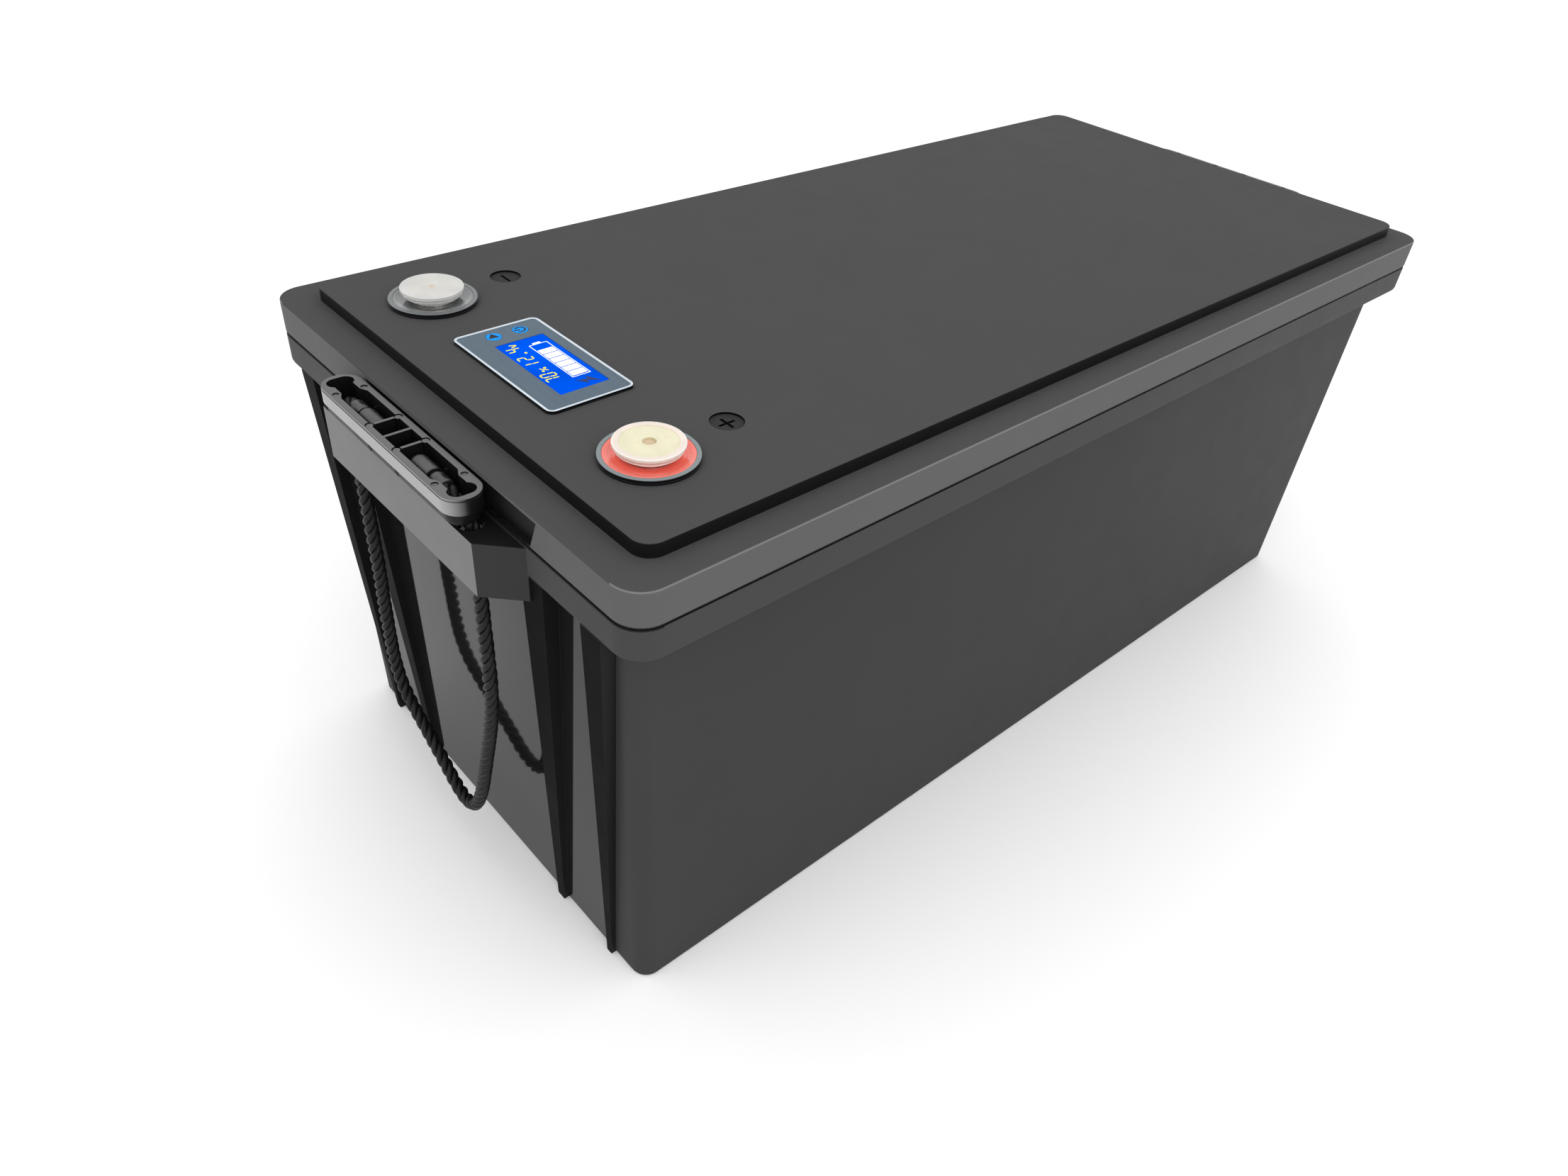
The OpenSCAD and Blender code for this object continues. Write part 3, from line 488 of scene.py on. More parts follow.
def loft(rings):
    """A solid through rings of points, closed by a face at each end."""
    bm = bmesh.new()
    rows = [[bm.verts.new(p) for p in points] for points in rings]
    count = len(rows[0])
    for low, high in zip(rows, rows[1:]):
        for k in range(count):
            n = (k + 1) % count
            bm.faces.new((low[k], low[n], high[n], high[k]))
    bm.faces.new(list(reversed(rows[0])))
    bm.faces.new(rows[-1])
    return bm


def prism(outline, low, high):
    return loft([at_height(outline, low), at_height(outline, high)])


def box(x0, x1, y0, y1, z0, z1):
    return prism(rect(x0, x1, y0, y1), z0, z1)


def drum(x, y, radius, low, high, steps=64):
    return prism(circle_outline(x, y, radius, steps), low, high)


def lathe(profile, steps, swell=None):
    """Turns a closed profile of (radius, z) points; swell(angle, z) adds to the radius."""
    bm = bmesh.new()
    rows = []
    for k in range(steps):
        angle = TAU * k / steps
        row = []
        for radius, z in profile:
            r = radius + (swell(angle, z) if swell and radius else 0)
            row.append(bm.verts.new((r * math.cos(angle), r * math.sin(angle), z)))
        rows.append(row)
    for k in range(steps):
        here, there = rows[k], rows[(k + 1) % steps]
        for j in range(len(profile)):
            n = (j + 1) % len(profile)
            bm.faces.new((here[j], there[j], there[n], here[n]))
    bmesh.ops.remove_doubles(bm, verts=bm.verts, dist=1e-4)
    return bm


def joined(solids):
    """Several separate solids in one mesh."""
    whole = bmesh.new()
    for bm in solids:
        mesh = bpy.data.meshes.new("part")
        bm.to_mesh(mesh)
        bm.free()
        whole.from_mesh(mesh)
        bpy.data.meshes.remove(mesh)
    return whole


def moved(bm, matrix):
    bm.transform(matrix)
    return bm


def solid_object(name, bm):
    bmesh.ops.recalc_face_normals(bm, faces=bm.faces)
    mesh = bpy.data.meshes.new(name)
    bm.to_mesh(mesh)
    bm.free()
    mesh.transform(Matrix.Scale(MM, 4))
    obj = bpy.data.objects.new(name, mesh)
    bpy.context.scene.collection.objects.link(obj)
    return obj


def apply_modifiers(obj):
    bpy.context.view_layer.update()
    graph = bpy.context.evaluated_depsgraph_get()
    mesh = bpy.data.meshes.new_from_object(obj.evaluated_get(graph))
    old = obj.data
    obj.modifiers.clear()
    obj.data = mesh
    bpy.data.meshes.remove(old)


def combine(obj, bm, operation):
    """Adds a solid to obj, or cuts it away."""
    tool = solid_object("tool", bm)
    change = obj.modifiers.new("change", "BOOLEAN")
    change.object = tool
    change.operation = operation
    change.solver = "EXACT"
    change.use_self = operation == "DIFFERENCE"
    apply_modifiers(obj)
    mesh = tool.data
    bpy.data.objects.remove(tool)
    bpy.data.meshes.remove(mesh)


def combine_ends(obj, bm, operation):
    """Combines obj with a solid and its copy at the other end of the case."""
    other = moved(bm.copy(), HALF_TURN)
    combine(obj, bm, operation)
    combine(obj, other, operation)


def soften(obj, width=0, segments=2):
    """Rounds the sharp edges and shades the rest smooth."""
    if width:
        rounding = obj.modifiers.new("rounding", "BEVEL")
        rounding.width = width * MM
        rounding.segments = segments
        rounding.limit_method = "ANGLE"
        rounding.angle_limit = math.radians(38)
        rounding.miter_outer = "MITER_ARC"
        apply_modifiers(obj)
    obj.data.shade_smooth()
    obj.data.set_sharp_from_angle(angle=math.radians(40))


def paint(obj, look):
    """Gives obj one material, or each face the one that look(centre, normal) picks."""
    obj.data.materials.clear()
    places = {}
    for face in obj.data.polygons:
        material = look(face.center / MM, face.normal) if callable(look) else look
        if material.name not in places:
            places[material.name] = len(places)
            obj.data.materials.append(material)
        face.material_index = places[material.name]


def attach(obj, look, body, node=None):
    """Paints a piece, hangs it on the empty of the body that it rides on, and hides the node
    that it replaces.
    """
    paint(obj, look)
    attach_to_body(obj, body)
    if node:
        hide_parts(node)


def install(obj, look, body, node, rounding=0, segments=2):
    """Attaches a moulded or turned piece, softened and with its shading weighted by face."""
    soften(obj, rounding, segments)
    weights = obj.modifiers.new("weighted normals", "WEIGHTED_NORMAL")
    weights.keep_sharp = True
    attach(obj, look, body, node)


# ---- ropes ----


def smooth_route(points, step):
    """Points every "step" along a Catmull-Rom curve through the route."""
    knots = [Vector(p) for p in points]
    knots = [2 * knots[0] - knots[1], *knots, 2 * knots[-1] - knots[-2]]
    fine = []
    for a, b, c, d in zip(knots, knots[1:], knots[2:], knots[3:]):
        count = max(2, round((c - b).length / 0.25))
        for i in range(count):
            t = i / count
            fine.append(0.5 * (
                2 * b + (c - a) * t + (2 * a - 5 * b + 4 * c - d) * t * t
                + (3 * b - a - 3 * c + d) * t * t * t
            ))
    fine.append(knots[-2])
    total = sum((b - a).length for a, b in zip(fine, fine[1:]))
    count = round(total / step)
    route, gone, target = [fine[0]], 0.0, total / count
    for a, b in zip(fine, fine[1:]):
        span = (b - a).length
        while len(route) < count and gone + span >= target * len(route):
            route.append(a.lerp(b, (target * len(route) - gone) / span))
        gone += span
    route.append(fine[-1])
    return route


def frames_along(route):
    """A tangent and two cross directions at each point, carried along without twist."""
    tangents = []
    for i in range(len(route)):
        ahead = route[min(i + 1, len(route) - 1)]
        behind = route[max(i - 1, 0)]
        tangents.append((ahead - behind).normalized())
    side = tangents[0].orthogonal().normalized()
    frames = []
    for tangent in tangents:
        side = (side - side.dot(tangent) * tangent).normalized()
        frames.append((tangent, side, tangent.cross(side)))
    return frames


def strand(route, frames, phase):
    """One strand wound round the route, ridged by the yarns twisted the other way in it."""
    lean = math.atan(TAU * HELIX_R / ROPE_LAY)
    sides, yarns, yarn_lay, ridge_share = 20, 5, 6.5, 0.09
    rings = []
    for i, (centre, (tangent, u, v)) in enumerate(zip(route, frames)):
        turn = TAU * i * ROPE_STEP / ROPE_LAY + phase
        out = math.cos(turn) * u + math.sin(turn) * v
        onward = -math.sin(turn) * u + math.cos(turn) * v
        cross = math.cos(lean) * onward - math.sin(lean) * tangent
        middle = centre + HELIX_R * out
        points = []
        for k in range(sides):
            angle = TAU * k / sides
            yarn_turn = angle + TAU * i * ROPE_STEP / yarn_lay / yarns
            ridge = abs(math.cos(yarns / 2 * yarn_turn))
            radius = STRAND_R * (1 - ridge_share + ridge_share * ridge)
            points.append(middle + radius * (math.cos(angle) * out + math.sin(angle) * cross))
        rings.append(points)
    return loft(rings)


def make_rope(end, flip):
    turn = HALF_TURN if flip else Matrix()
    route = [turn @ p for p in smooth_route(ROPE_ROUTE, ROPE_STEP)]
    frames = frames_along(route)
    strands = joined([strand(route, frames, TAU * k / 3) for k in range(3)])
    rope = solid_object(end + "_rope_strands", strands)
    soften(rope)
    attach(rope, ROPE_BLACK, end + "_handle", end + "_rope")
    path = [p * MM for p in route[::4]]
    if (path[-1] - route[-1] * MM).length > 1e-6:
        path.append(route[-1] * MM)


for end, flip in ENDS:
    make_rope(end, flip)


# ---- case ----


def case_shell():
    """The drafted walls and the rim outside, then the same inside."""
    under_rim = BODY_L - 0.1, BODY_W - 0.1, BODY_R
    return loft([ring(*level) for level in (
        (FOOT, 1.2, 0), (FOOT, 0.4, 0.4), (FOOT, 0, 1.2),
        (under_rim, 0, RIM_Z - 2), (BODY, -0.4, RIM_Z - 0.5), (BODY, -1.3, RIM_Z),
        (RIM, 1.6, RIM_Z), (RIM, 0.45, RIM_Z + 0.45), (RIM, 0, RIM_Z + 1.6),
        (RIM, 0, SEAM_Z - 0.5), (RIM, 0.15, SEAM_Z - 0.1), (RIM, 0.5, SEAM_Z),
        (RIM, WALL, SEAM_Z), (RIM, WALL, RIM_Z + WALL),
        (BODY, WALL, RIM_Z + WALL), (FOOT, WALL, WALL),
    )])


def ledge(back, low, high):
    """The handle ledge in plan, from its splayed root out to its front."""
    root = RIM_L / 2
    outline = [(-back, -LEDGE_FOOT), (-root, -LEDGE_FOOT), (-LEDGE_X, -LEDGE_FRONT),
               (-LEDGE_X, LEDGE_FRONT), (-root, LEDGE_FOOT), (-back, LEDGE_FOOT)]
    return prism(outline, low, high)


def ledge_hollow():
    back = RIM_L / 2 + 0.5
    front, half, foot = LEDGE_X - LEDGE_WALL, LEDGE_FRONT - 1, LEDGE_FOOT - 4
    outline = [(-back, -foot), (-front, -half), (-front, half), (-back, foot)]
    return prism(outline, LEDGE_LOW - 1, LEDGE_TOP - WALL)


def rib(side, widths):
    top_in, top_out, foot_in, foot_out = widths
    levels = (
        (0, foot_in, foot_out, *RIB_FOOT_X), (RIM_Z + 0.6, top_in, top_out, *RIB_TOP_X))
    return loft([
        [(-front, side * a, z), (-front, side * b, z), (-back, side * b, z),
         (-back, side * a, z)]
        for z, a, b, back, front in levels
    ])


def rib_sides(widths, z):
    """The distances from the middle to the two sides of a rib at height z."""
    top_in, top_out, foot_in, foot_out = widths
    t = z / RIM_Z
    return foot_in + (top_in - foot_in) * t, foot_out + (top_out - foot_out) * t


def case_zone(centre, normal):
    x, y, z = abs(centre.x), abs(centre.y), centre.z
    if x > RIM_L / 2 + 0.3 and z > LEDGE_LOW - 0.5:
        if abs(normal.z) < 0.5 and (x > LEDGE_X - 1.5 or y > LEDGE_FRONT - 1):
            return LEDGE_FACE if abs(normal.x) > 0.9 else CHAMFER_FACE
        # The ledge's top, underside and inner faces: painted shade
        return PAINTED_SHADE_FACE
    if z > RIM_Z - 0.2 and normal.z < 0.5 and beyond(centre.x, centre.y, *RIM) > -1.7:
        # Just under the seam at the ends the rim takes painted shade
        under_seam = z > SEAM_Z - 0.35 and x > RIM_L / 2 - RIM_R
        return PAINTED_SHADE_FACE if under_seam else RIM_BAND
    if z > SEAM_Z - 1 and normal.z > 0.5:
        # The rim's top under the lid: painted shade
        return PAINTED_SHADE_FACE
    wall_x = (FOOT_L + (BODY_L - FOOT_L) * z / RIM_Z) / 2
    for widths in RIBS:
        inside, outside = rib_sides(widths, z)
        if z < RIM_Z and inside - 0.3 < y < outside + 0.3 and x > wall_x + 0.4:
            # The ribs' sides take painted shade
            return RIB_FACE if abs(normal.x) > 0.8 else PAINTED_SHADE_FACE
    past_ribs = y > rib_sides(RIBS[1], z)[1]
    return SIDE_WALL if past_ribs or abs(normal.x) < 0.7 else END_WALL


def make_container():
    case = solid_object("case_moulding", case_shell())
    combine_ends(case, ledge(BODY_L / 2 - 1, LEDGE_LOW, RIM_Z + 1), "UNION")
    combine_ends(case, ledge(RIM_L / 2 - WALL + 1, RIM_Z, LEDGE_TOP), "UNION")
    for widths in RIBS:
        for side in (-1, 1):
            combine_ends(case, rib(side, widths), "UNION")
    combine_ends(case, ledge_hollow(), "DIFFERENCE")
    low, high = LEDGE_TOP - WALL - 1, LEDGE_TOP + 1
    for side in (-1, 1):
        hole = drum(-ROPE_X, side * ROPE_Y, ROPE_HOLE_R, low, high, 40)
        combine_ends(case, hole, "DIFFERENCE")
    install(case, case_zone, "battery", "container", 0.3, 3)


make_container()


# ---- lid ----


def lid_shell():
    """From under the panel down to the tongue in the case, then up the outside to the panel."""
    tongue_in, tongue_out, tongue_low = 5.3, 3.3, SEAM_Z - 5
    inside = [
        (PANEL, WALL, TOP_Z - WALL), (PANEL, WALL, FLANGE_Z - WALL),
        (RIM, tongue_in, FLANGE_Z - WALL), (RIM, tongue_in, tongue_low),
    ]
    outside = [
        (RIM, tongue_out, tongue_low), (RIM, tongue_out, LID_Z),
        (RIM, 0.5, LID_Z), (RIM, 0.15, LID_Z + 0.15), (RIM, 0, LID_Z + 0.5),
        (RIM, 0, FLANGE_Z - 0.6), (RIM, 0.08, FLANGE_Z - 0.3), (RIM, 0.3, FLANGE_Z - 0.08),
        (RIM, 0.6, FLANGE_Z), (PANEL, -0.4, FLANGE_Z), (PANEL, -0.12, FLANGE_Z + 0.12),
        (PANEL, 0, FLANGE_Z + 0.4), (PANEL, 0.1, TOP_Z - 0.5), (PANEL, 0.2, TOP_Z - 0.2),
        (PANEL, 0.38, TOP_Z - 0.05), (PANEL, 0.7, TOP_Z),
    ]
    return loft([
        ring(size, inset, z, PANEL_X if size == PANEL else 0)
        for size, inset, z in inside + outside
    ])


def notch():
    """The finger room behind the grip, with a small round where it stops short."""
    outline = [(-NOTCH_LOW, LID_Z - 1), (NOTCH_END, LID_Z - 1), (NOTCH_END, NOTCH_TOP - 3),
               (NOTCH_END + 0.6, NOTCH_TOP - 1.2), (NOTCH_END + 2, NOTCH_TOP),
               (-NOTCH_HIGH, NOTCH_TOP)]
    planes = -RIM_L / 2 - 1, -RIM_L / 2 + NOTCH_DEPTH
    return loft([[(x, y, z) for y, z in outline] for x in planes])


def notch_backing():
    return box(-RIM_L / 2 + 2, -RIM_L / 2 + 7, -NOTCH_HIGH - WALL, NOTCH_END + WALL + 2,
               LID_Z, FLANGE_Z - WALL + 1)


def roundel_centre(side):
    return -ROUNDEL_X, side * ROUNDEL_Y + ROUNDEL_SHIFT


def roundel_cuts(side):
    """A sunk disc with the bar of its sign in it, crossed at the positive terminal."""
    x, y = roundel_centre(side)
    floor_z = TOP_Z - ROUNDEL_DEPTH
    low = floor_z - MARK_DEPTH
    long_, wide = MARK_L / 2, MARK_W / 2
    cuts = [drum(x, y, ROUNDEL_R, floor_z, TOP_Z + 1, 72),
            box(x - wide, x + wide, y - long_, y + long_, low, TOP_Z)]
    if side < 0:
        cuts.append(box(x - long_, x + long_, y - wide, y + wide, low, TOP_Z))
    return cuts


def meter_outline(inset, radius):
    return rounded_outline(
        METER_W - 2 * inset, METER_L - 2 * inset, radius, (-METER_X, METER_Y))


def lid_zone(centre, normal):
    x, y, z = abs(centre.x), abs(centre.y), centre.z
    if FLANGE_Z + 1.2 < z < TOP_Z - 0.1:
        for side in (-1, 1):
            middle_x, middle_y = roundel_centre(side)
            if math.hypot(centre.x - middle_x, centre.y - middle_y) < ROUNDEL_R + 0.2:
                on_floor = normal.z > 0.7 and z > TOP_Z - ROUNDEL_DEPTH - 0.02
                # Off the floor: the sign's black, and painted shade on the disc's wall
                return ROUNDEL_FACE if on_floor else SIGN_AND_SHADE_FACE
    past_rim = beyond(centre.x, centre.y, *RIM)
    if z > FLANGE_Z - 0.5 and normal.z > -0.5:
        past_panel = beyond(centre.x - PANEL_X, centre.y, *PANEL)
        if past_panel > 0.15:
            # Along the long sides the flange's outer edge takes a painted highlight line
            at_long_edge = past_rim > -0.42 and y > RIM_W / 2 - RIM_R
            return EDGE_HIGHLIGHT if at_long_edge else FLANGE_FACE
        return STEP_FACE if z < TOP_Z - 0.3 and past_panel > -0.5 else LID_TOP
    # The faces in the notch and the lid's hidden inside take painted shade
    in_notch = (y < NOTCH_HIGH + 1 and x > RIM_L / 2 - 5
                and (x < RIM_L / 2 - 0.2 or abs(normal.x) < 0.9))
    # The skirt takes its lighter tone of painted light
    return LIT_SKIRT if z > LID_Z and past_rim > -1 and not in_notch else NOTCH_SHADE


def make_lid():
    lid = solid_object("lid_moulding", lid_shell())
    combine_ends(lid, notch_backing(), "UNION")
    combine_ends(lid, notch(), "DIFFERENCE")
    low, high = FLANGE_Z - 3.5, TOP_Z + 1
    cuts = []
    for side in (-1, 1):
        cuts.append(drum(-TERM_X, side * TERM_Y, POST_R + 0.3, low, high))
        cuts += roundel_cuts(side)
    cuts.append(prism(meter_outline(METER_HOLE_INSET, METER_HOLE_R), low, high))
    for cut in cuts:
        combine(lid, cut, "DIFFERENCE")
    install(lid, lid_zone, "battery", "lid", 0.2, 3)


make_lid()


# ---- grips and ferrules ----


def grip_body():
    """A capsule in plan: a round underside, a step out to a band, and a groove at its rim."""
    angles = [math.radians(degrees) for degrees in range(8, 57, 8)]
    profile = [
        *((GRIP_R * math.sin(a), GRIP_AXIS_Z - GRIP_R * math.cos(a)) for a in angles),
        *corner(GRIP_R, BAND_Z, (0.75, 0.2), (0.6, 0), (0.15, -0.05), (0, -0.3)),
        *corner(GRIP_R, GRIP_RIM_Z, (0, 1.1), (0.35, 0.95), (0.35, 0.65), (0.05, 0.5),
                (0.1, 0.15), (0.35, 0)),
    ]
    half = GRIP_L / 2 - GRIP_R
    return loft([
        at_height(stadium_outline(half, radius, (-GRIP_X, 0)), z) for radius, z in profile])


def trough_part(y0, y1, width):
    return box(-GRIP_X - width / 2, -GRIP_X + width / 2, *sorted((y0, y1)),
               TROUGH_Z, GRIP_RIM_Z + 1)


def trough_taper(side):
    """The trough's end, drawn in to the width of the neck."""
    wide_y, neck_y = side * (TROUGH_END_Y - 3.1), side * TROUGH_END_Y
    wide, neck = TROUGH_W / 2, NECK_W / 2
    outline = [(-GRIP_X - wide, wide_y), (-GRIP_X + wide, wide_y),
               (-GRIP_X + neck, neck_y), (-GRIP_X - neck, neck_y)]
    return prism(outline, TROUGH_Z, GRIP_RIM_Z + 1)


def grip_cuts(side):
    """The troughs and the keyhole from above, and the rope's slot from below."""
    keyhole = rounded_outline(
        2 * (KEYHOLE_R + KEYHOLE_SPREAD), 2 * KEYHOLE_R, KEYHOLE_R - 0.02,
        (-GRIP_X, side * KEYHOLE_Y), 12)
    slot_x, slot_y = -ROPE_X - 0.8, sorted((side * 35, side * ROPE_Y))
    low, high = LEDGE_TOP - 2, TROUGH_Z + 1
    return [
        trough_part(side * PARTITION_T / 2, side * (PARTITION_Y - PARTITION_T), TROUGH_W),
        trough_part(side * PARTITION_Y, side * (TROUGH_END_Y - 3), TROUGH_W),
        trough_taper(side),
        trough_part(side * (TROUGH_END_Y - 1), side * KEYHOLE_Y, NECK_W),
        prism(keyhole, TROUGH_Z, GRIP_RIM_Z + 1),
        drum(slot_x, side * ROPE_Y, NECK_W / 2, low, high, 40),
        box(slot_x - NECK_W / 2, slot_x + NECK_W / 2, *slot_y, low, high),
    ]


def pin_marks(side):
    """The shallow dimple each ejector pin has left on the rim beside the trough's end."""
    return [
        drum(-GRIP_X + dx, side * PIN_Y, PIN_R, GRIP_RIM_Z - PIN_DEPTH, GRIP_RIM_Z + 1, 28)
        for dx in (-PIN_X, PIN_X)
    ]


def saddle(side):
    """A seat across the trough for the ferrule's groove, with a clip tab at each side."""
    middle = side * (FERRULE_Y + FERRULE_L + GROOVE_L / 2)
    half, seat, tab_w, tab_z = TROUGH_W / 2 + 0.05, GROOVE_R + 0.2, 1.3, FERRULE_Z + 2.6
    angles = [math.radians(a) for a in range(0, 181, 15)]
    outline = [
        (-half, TROUGH_Z - 0.05), (half, TROUGH_Z - 0.05), (half, tab_z), (half - tab_w, tab_z),
        *((seat * math.cos(a), FERRULE_Z - seat * math.sin(a)) for a in angles),
        (tab_w - half, tab_z), (-half, tab_z),
    ]
    return loft([[(-GRIP_X + x, middle + dy, z) for x, z in outline] for dy in (-0.5, 0.5)])


def partition_bosses(side, radius, top):
    """The round boss at each end of the partition."""
    y = side * (PARTITION_Y - PARTITION_T / 2)
    reach = TROUGH_W / 2 + 0.3
    return [drum(-GRIP_X + dx, y, radius, TROUGH_Z - 0.1, top, 28) for dx in (-reach, reach)]


def grip_zone(centre, normal, band):
    if centre.z > GRIP_RIM_Z - PIN_DEPTH - 0.1 and normal.z > 0.3:
        return GRIP_RIM
    along = max(abs(centre.y) - (GRIP_L / 2 - GRIP_R), 0)
    outside = math.hypot(abs(centre.x) - GRIP_X, along)
    # Above the step, the side band with its painted light; the trough and the underside take
    # painted shade
    return band if centre.z > BAND_Z and outside > GRIP_R - 0.6 else GRIP_SHADE


def make_grip(end, flip):
    grip = solid_object(end + "_grip_moulding", grip_body())
    for side in (-1, 1):
        for cut in grip_cuts(side) + partition_bosses(side, 1.55, GRIP_RIM_Z + 1):
            combine(grip, cut, "DIFFERENCE")
        for part in (saddle(side), *partition_bosses(side, 1.2, GRIP_RIM_Z - 0.3)):
            combine(grip, part, "UNION")
        for cut in pin_marks(side):
            combine(grip, cut, "DIFFERENCE")
    soften(grip, 0.12)
    if flip:
        grip.data.transform(HALF_TURN)
    band = FAR_BAND if flip else NEAR_BAND
    install(grip, lambda centre, normal: grip_zone(centre, normal, band),
            end + "_handle", end + "_grip")


def ferrule(side):
    """A turned sleeve with a groove, and a crimp pressed in six flats."""
    collar = FERRULE_L
    groove = collar + GROOVE_L
    tail = groove + CRIMP_L
    profile = [
        (0, 0), (1.4, 0.1), (2.5, 0.45), (3.2, 1.05), (3.58, 1.8), (FERRULE_R, 2.6),
        (FERRULE_R, collar - 0.5), (FERRULE_R - 0.15, collar - 0.12),
        (FERRULE_R - 0.5, collar), (GROOVE_R, collar), (GROOVE_R, groove),
        (CRIMP_R - 0.3, groove), (CRIMP_R, groove + 0.4), (CRIMP_R, groove + 2),
        (CRIMP_R, groove + 2.4), (CRIMP_R, tail - 1.6), (CRIMP_R, tail - 1.2),
        (CRIMP_R, tail - 0.3), (CRIMP_R - 0.25, tail), (0, tail),
    ]

    def pressed(angle, z):
        return -0.14 * (1 + math.cos(6 * angle)) if groove + 2.2 < z < tail - 1.4 else 0

    place = Matrix.Translation((-GRIP_X, side * FERRULE_Y, FERRULE_Z))
    turn = Matrix.Rotation(-side * math.pi / 2, 4, "X")
    return moved(lathe(profile, 72, pressed), place @ turn)


def ferrule_zone(centre, normal):
    past_collar = abs(centre.y) - FERRULE_Y - FERRULE_L
    # The groove takes painted shade
    return FERRULE_GROOVE_SHADE if -0.01 < past_collar < GROOVE_L + 0.01 else FERRULE


def make_ferrules(end, flip):
    pair = solid_object(end + "_ferrule_pair", joined([ferrule(-1), ferrule(1)]))
    if flip:
        pair.data.transform(HALF_TURN)
    install(pair, ferrule_zone, end + "_handle", end + "_ferrules")


for make_part in (make_grip, make_ferrules):
    for end, flip in ENDS:
        make_part(end, flip)


# ---- terminals ----


def at_terminal(bm, side):
    return moved(bm, Matrix.Translation((-TERM_X, side * TERM_Y, 0)))


def make_turned(side, kind, ending, profile, material):
    """A lathed part of one terminal, named after the node that it replaces."""
    node = f"{SIGNS[side]}_{kind}"
    piece = solid_object(node + ending, at_terminal(lathe(profile, 128), side))
    install(piece, material, "battery", node)


def make_gasket(side):
    """Two layers of flat rubber with a dark line between them, and a lip round the ring."""
    outer, inner, low, high = RING_R + 0.3, GASKET_IN, TOP_Z, RING_TOP - 0.15
    middle = (low + high) / 2
    profile = [
        (inner, low), (outer - 0.12, low), (outer, low + 0.12),
        *corner(outer, middle, (0, 0.16), (0.1, 0.06), (0.45, 0.03), (0.45, -0.03),
                (0.1, -0.06), (0.02, -0.16)),
        *corner(outer, high, (0.02, 0.1), (0.1, 0)),
        (RING_R, high), (RING_R, GASKET_TOP), (inner, GASKET_TOP),
    ]
    make_turned(side, "gasket", "_layers", profile, GASKET_BLACK)


def make_ring(side, material):
    outer, inner, low, high = RING_R, SEAL_R, GASKET_TOP, RING_TOP
    profile = [
        (inner, low), (outer - 0.08, low), (outer, low + 0.08),
        *corner(outer, high, (0, 0.2), (0.07, 0.06), (0.2, 0)),
        *corner(inner, high, (-0.15, 0), (-0.04, 0.05), (0, 0.15)),
    ]
    make_turned(side, "ring", "_turned", profile, material)


def make_seal(side, material):
    """A dished washer: an outer bead, two fine steps and a slope down to a flat."""
    low, inner, outer = GASKET_TOP, POST_R + 0.3, SEAL_R
    edge, floor_z = RING_TOP - 0.1, TOP_Z + 0.9
    profile = [
        (inner, TOP_Z), (GASKET_IN - 0.1, TOP_Z), (GASKET_IN - 0.1, low), (outer, low),
        *corner(outer, edge, (0, 0.15), (0.1, 0.04), (0.3, 0), (0.55, 0.03), (0.75, 0.14),
                (0.95, 0.2), (1.3, 0.22), (1.45, 0.32), (1.7, 0.36), (1.85, 0.46), (2.4, 0.5)),
        (outer - 3.2, floor_z + 0.12), (outer - 3.6, floor_z), (inner, floor_z),
    ]
    make_turned(side, "seal", "_dish", profile, material)


def make_post(side):
    """A tinned post on a flange, tapped down its middle, with a stud below."""
    hole_r, crest_r, root_depth, pitch = 3.4, 3.42, 0.45, 1.25
    under_lid, floor_z = TOP_Z - WALL, POST_TOP - THREAD_DEPTH
    profile = [
        (0, STUD_LOW), (STUD_R - 0.4, STUD_LOW), (STUD_R, STUD_LOW + 0.5),
        (STUD_R, POST_FLANGE_LOW), (POST_FLANGE_R, POST_FLANGE_LOW),
        (POST_FLANGE_R, under_lid), (POST_R, under_lid), (POST_R, POST_TOP - 0.6),
        (POST_R - 0.6, POST_TOP), (hole_r + 0.7, POST_TOP), (hole_r + 0.1, POST_TOP - 0.6),
    ]
    z = POST_TOP - 0.8
    while z - pitch > floor_z + 0.5:
        profile += [(crest_r, z), (crest_r + root_depth, z - pitch / 2)]
        z -= pitch
    profile += [(hole_r, floor_z), (0, floor_z - 0.5)]
    make_turned(side, "post", "_turned", profile, BRASS)


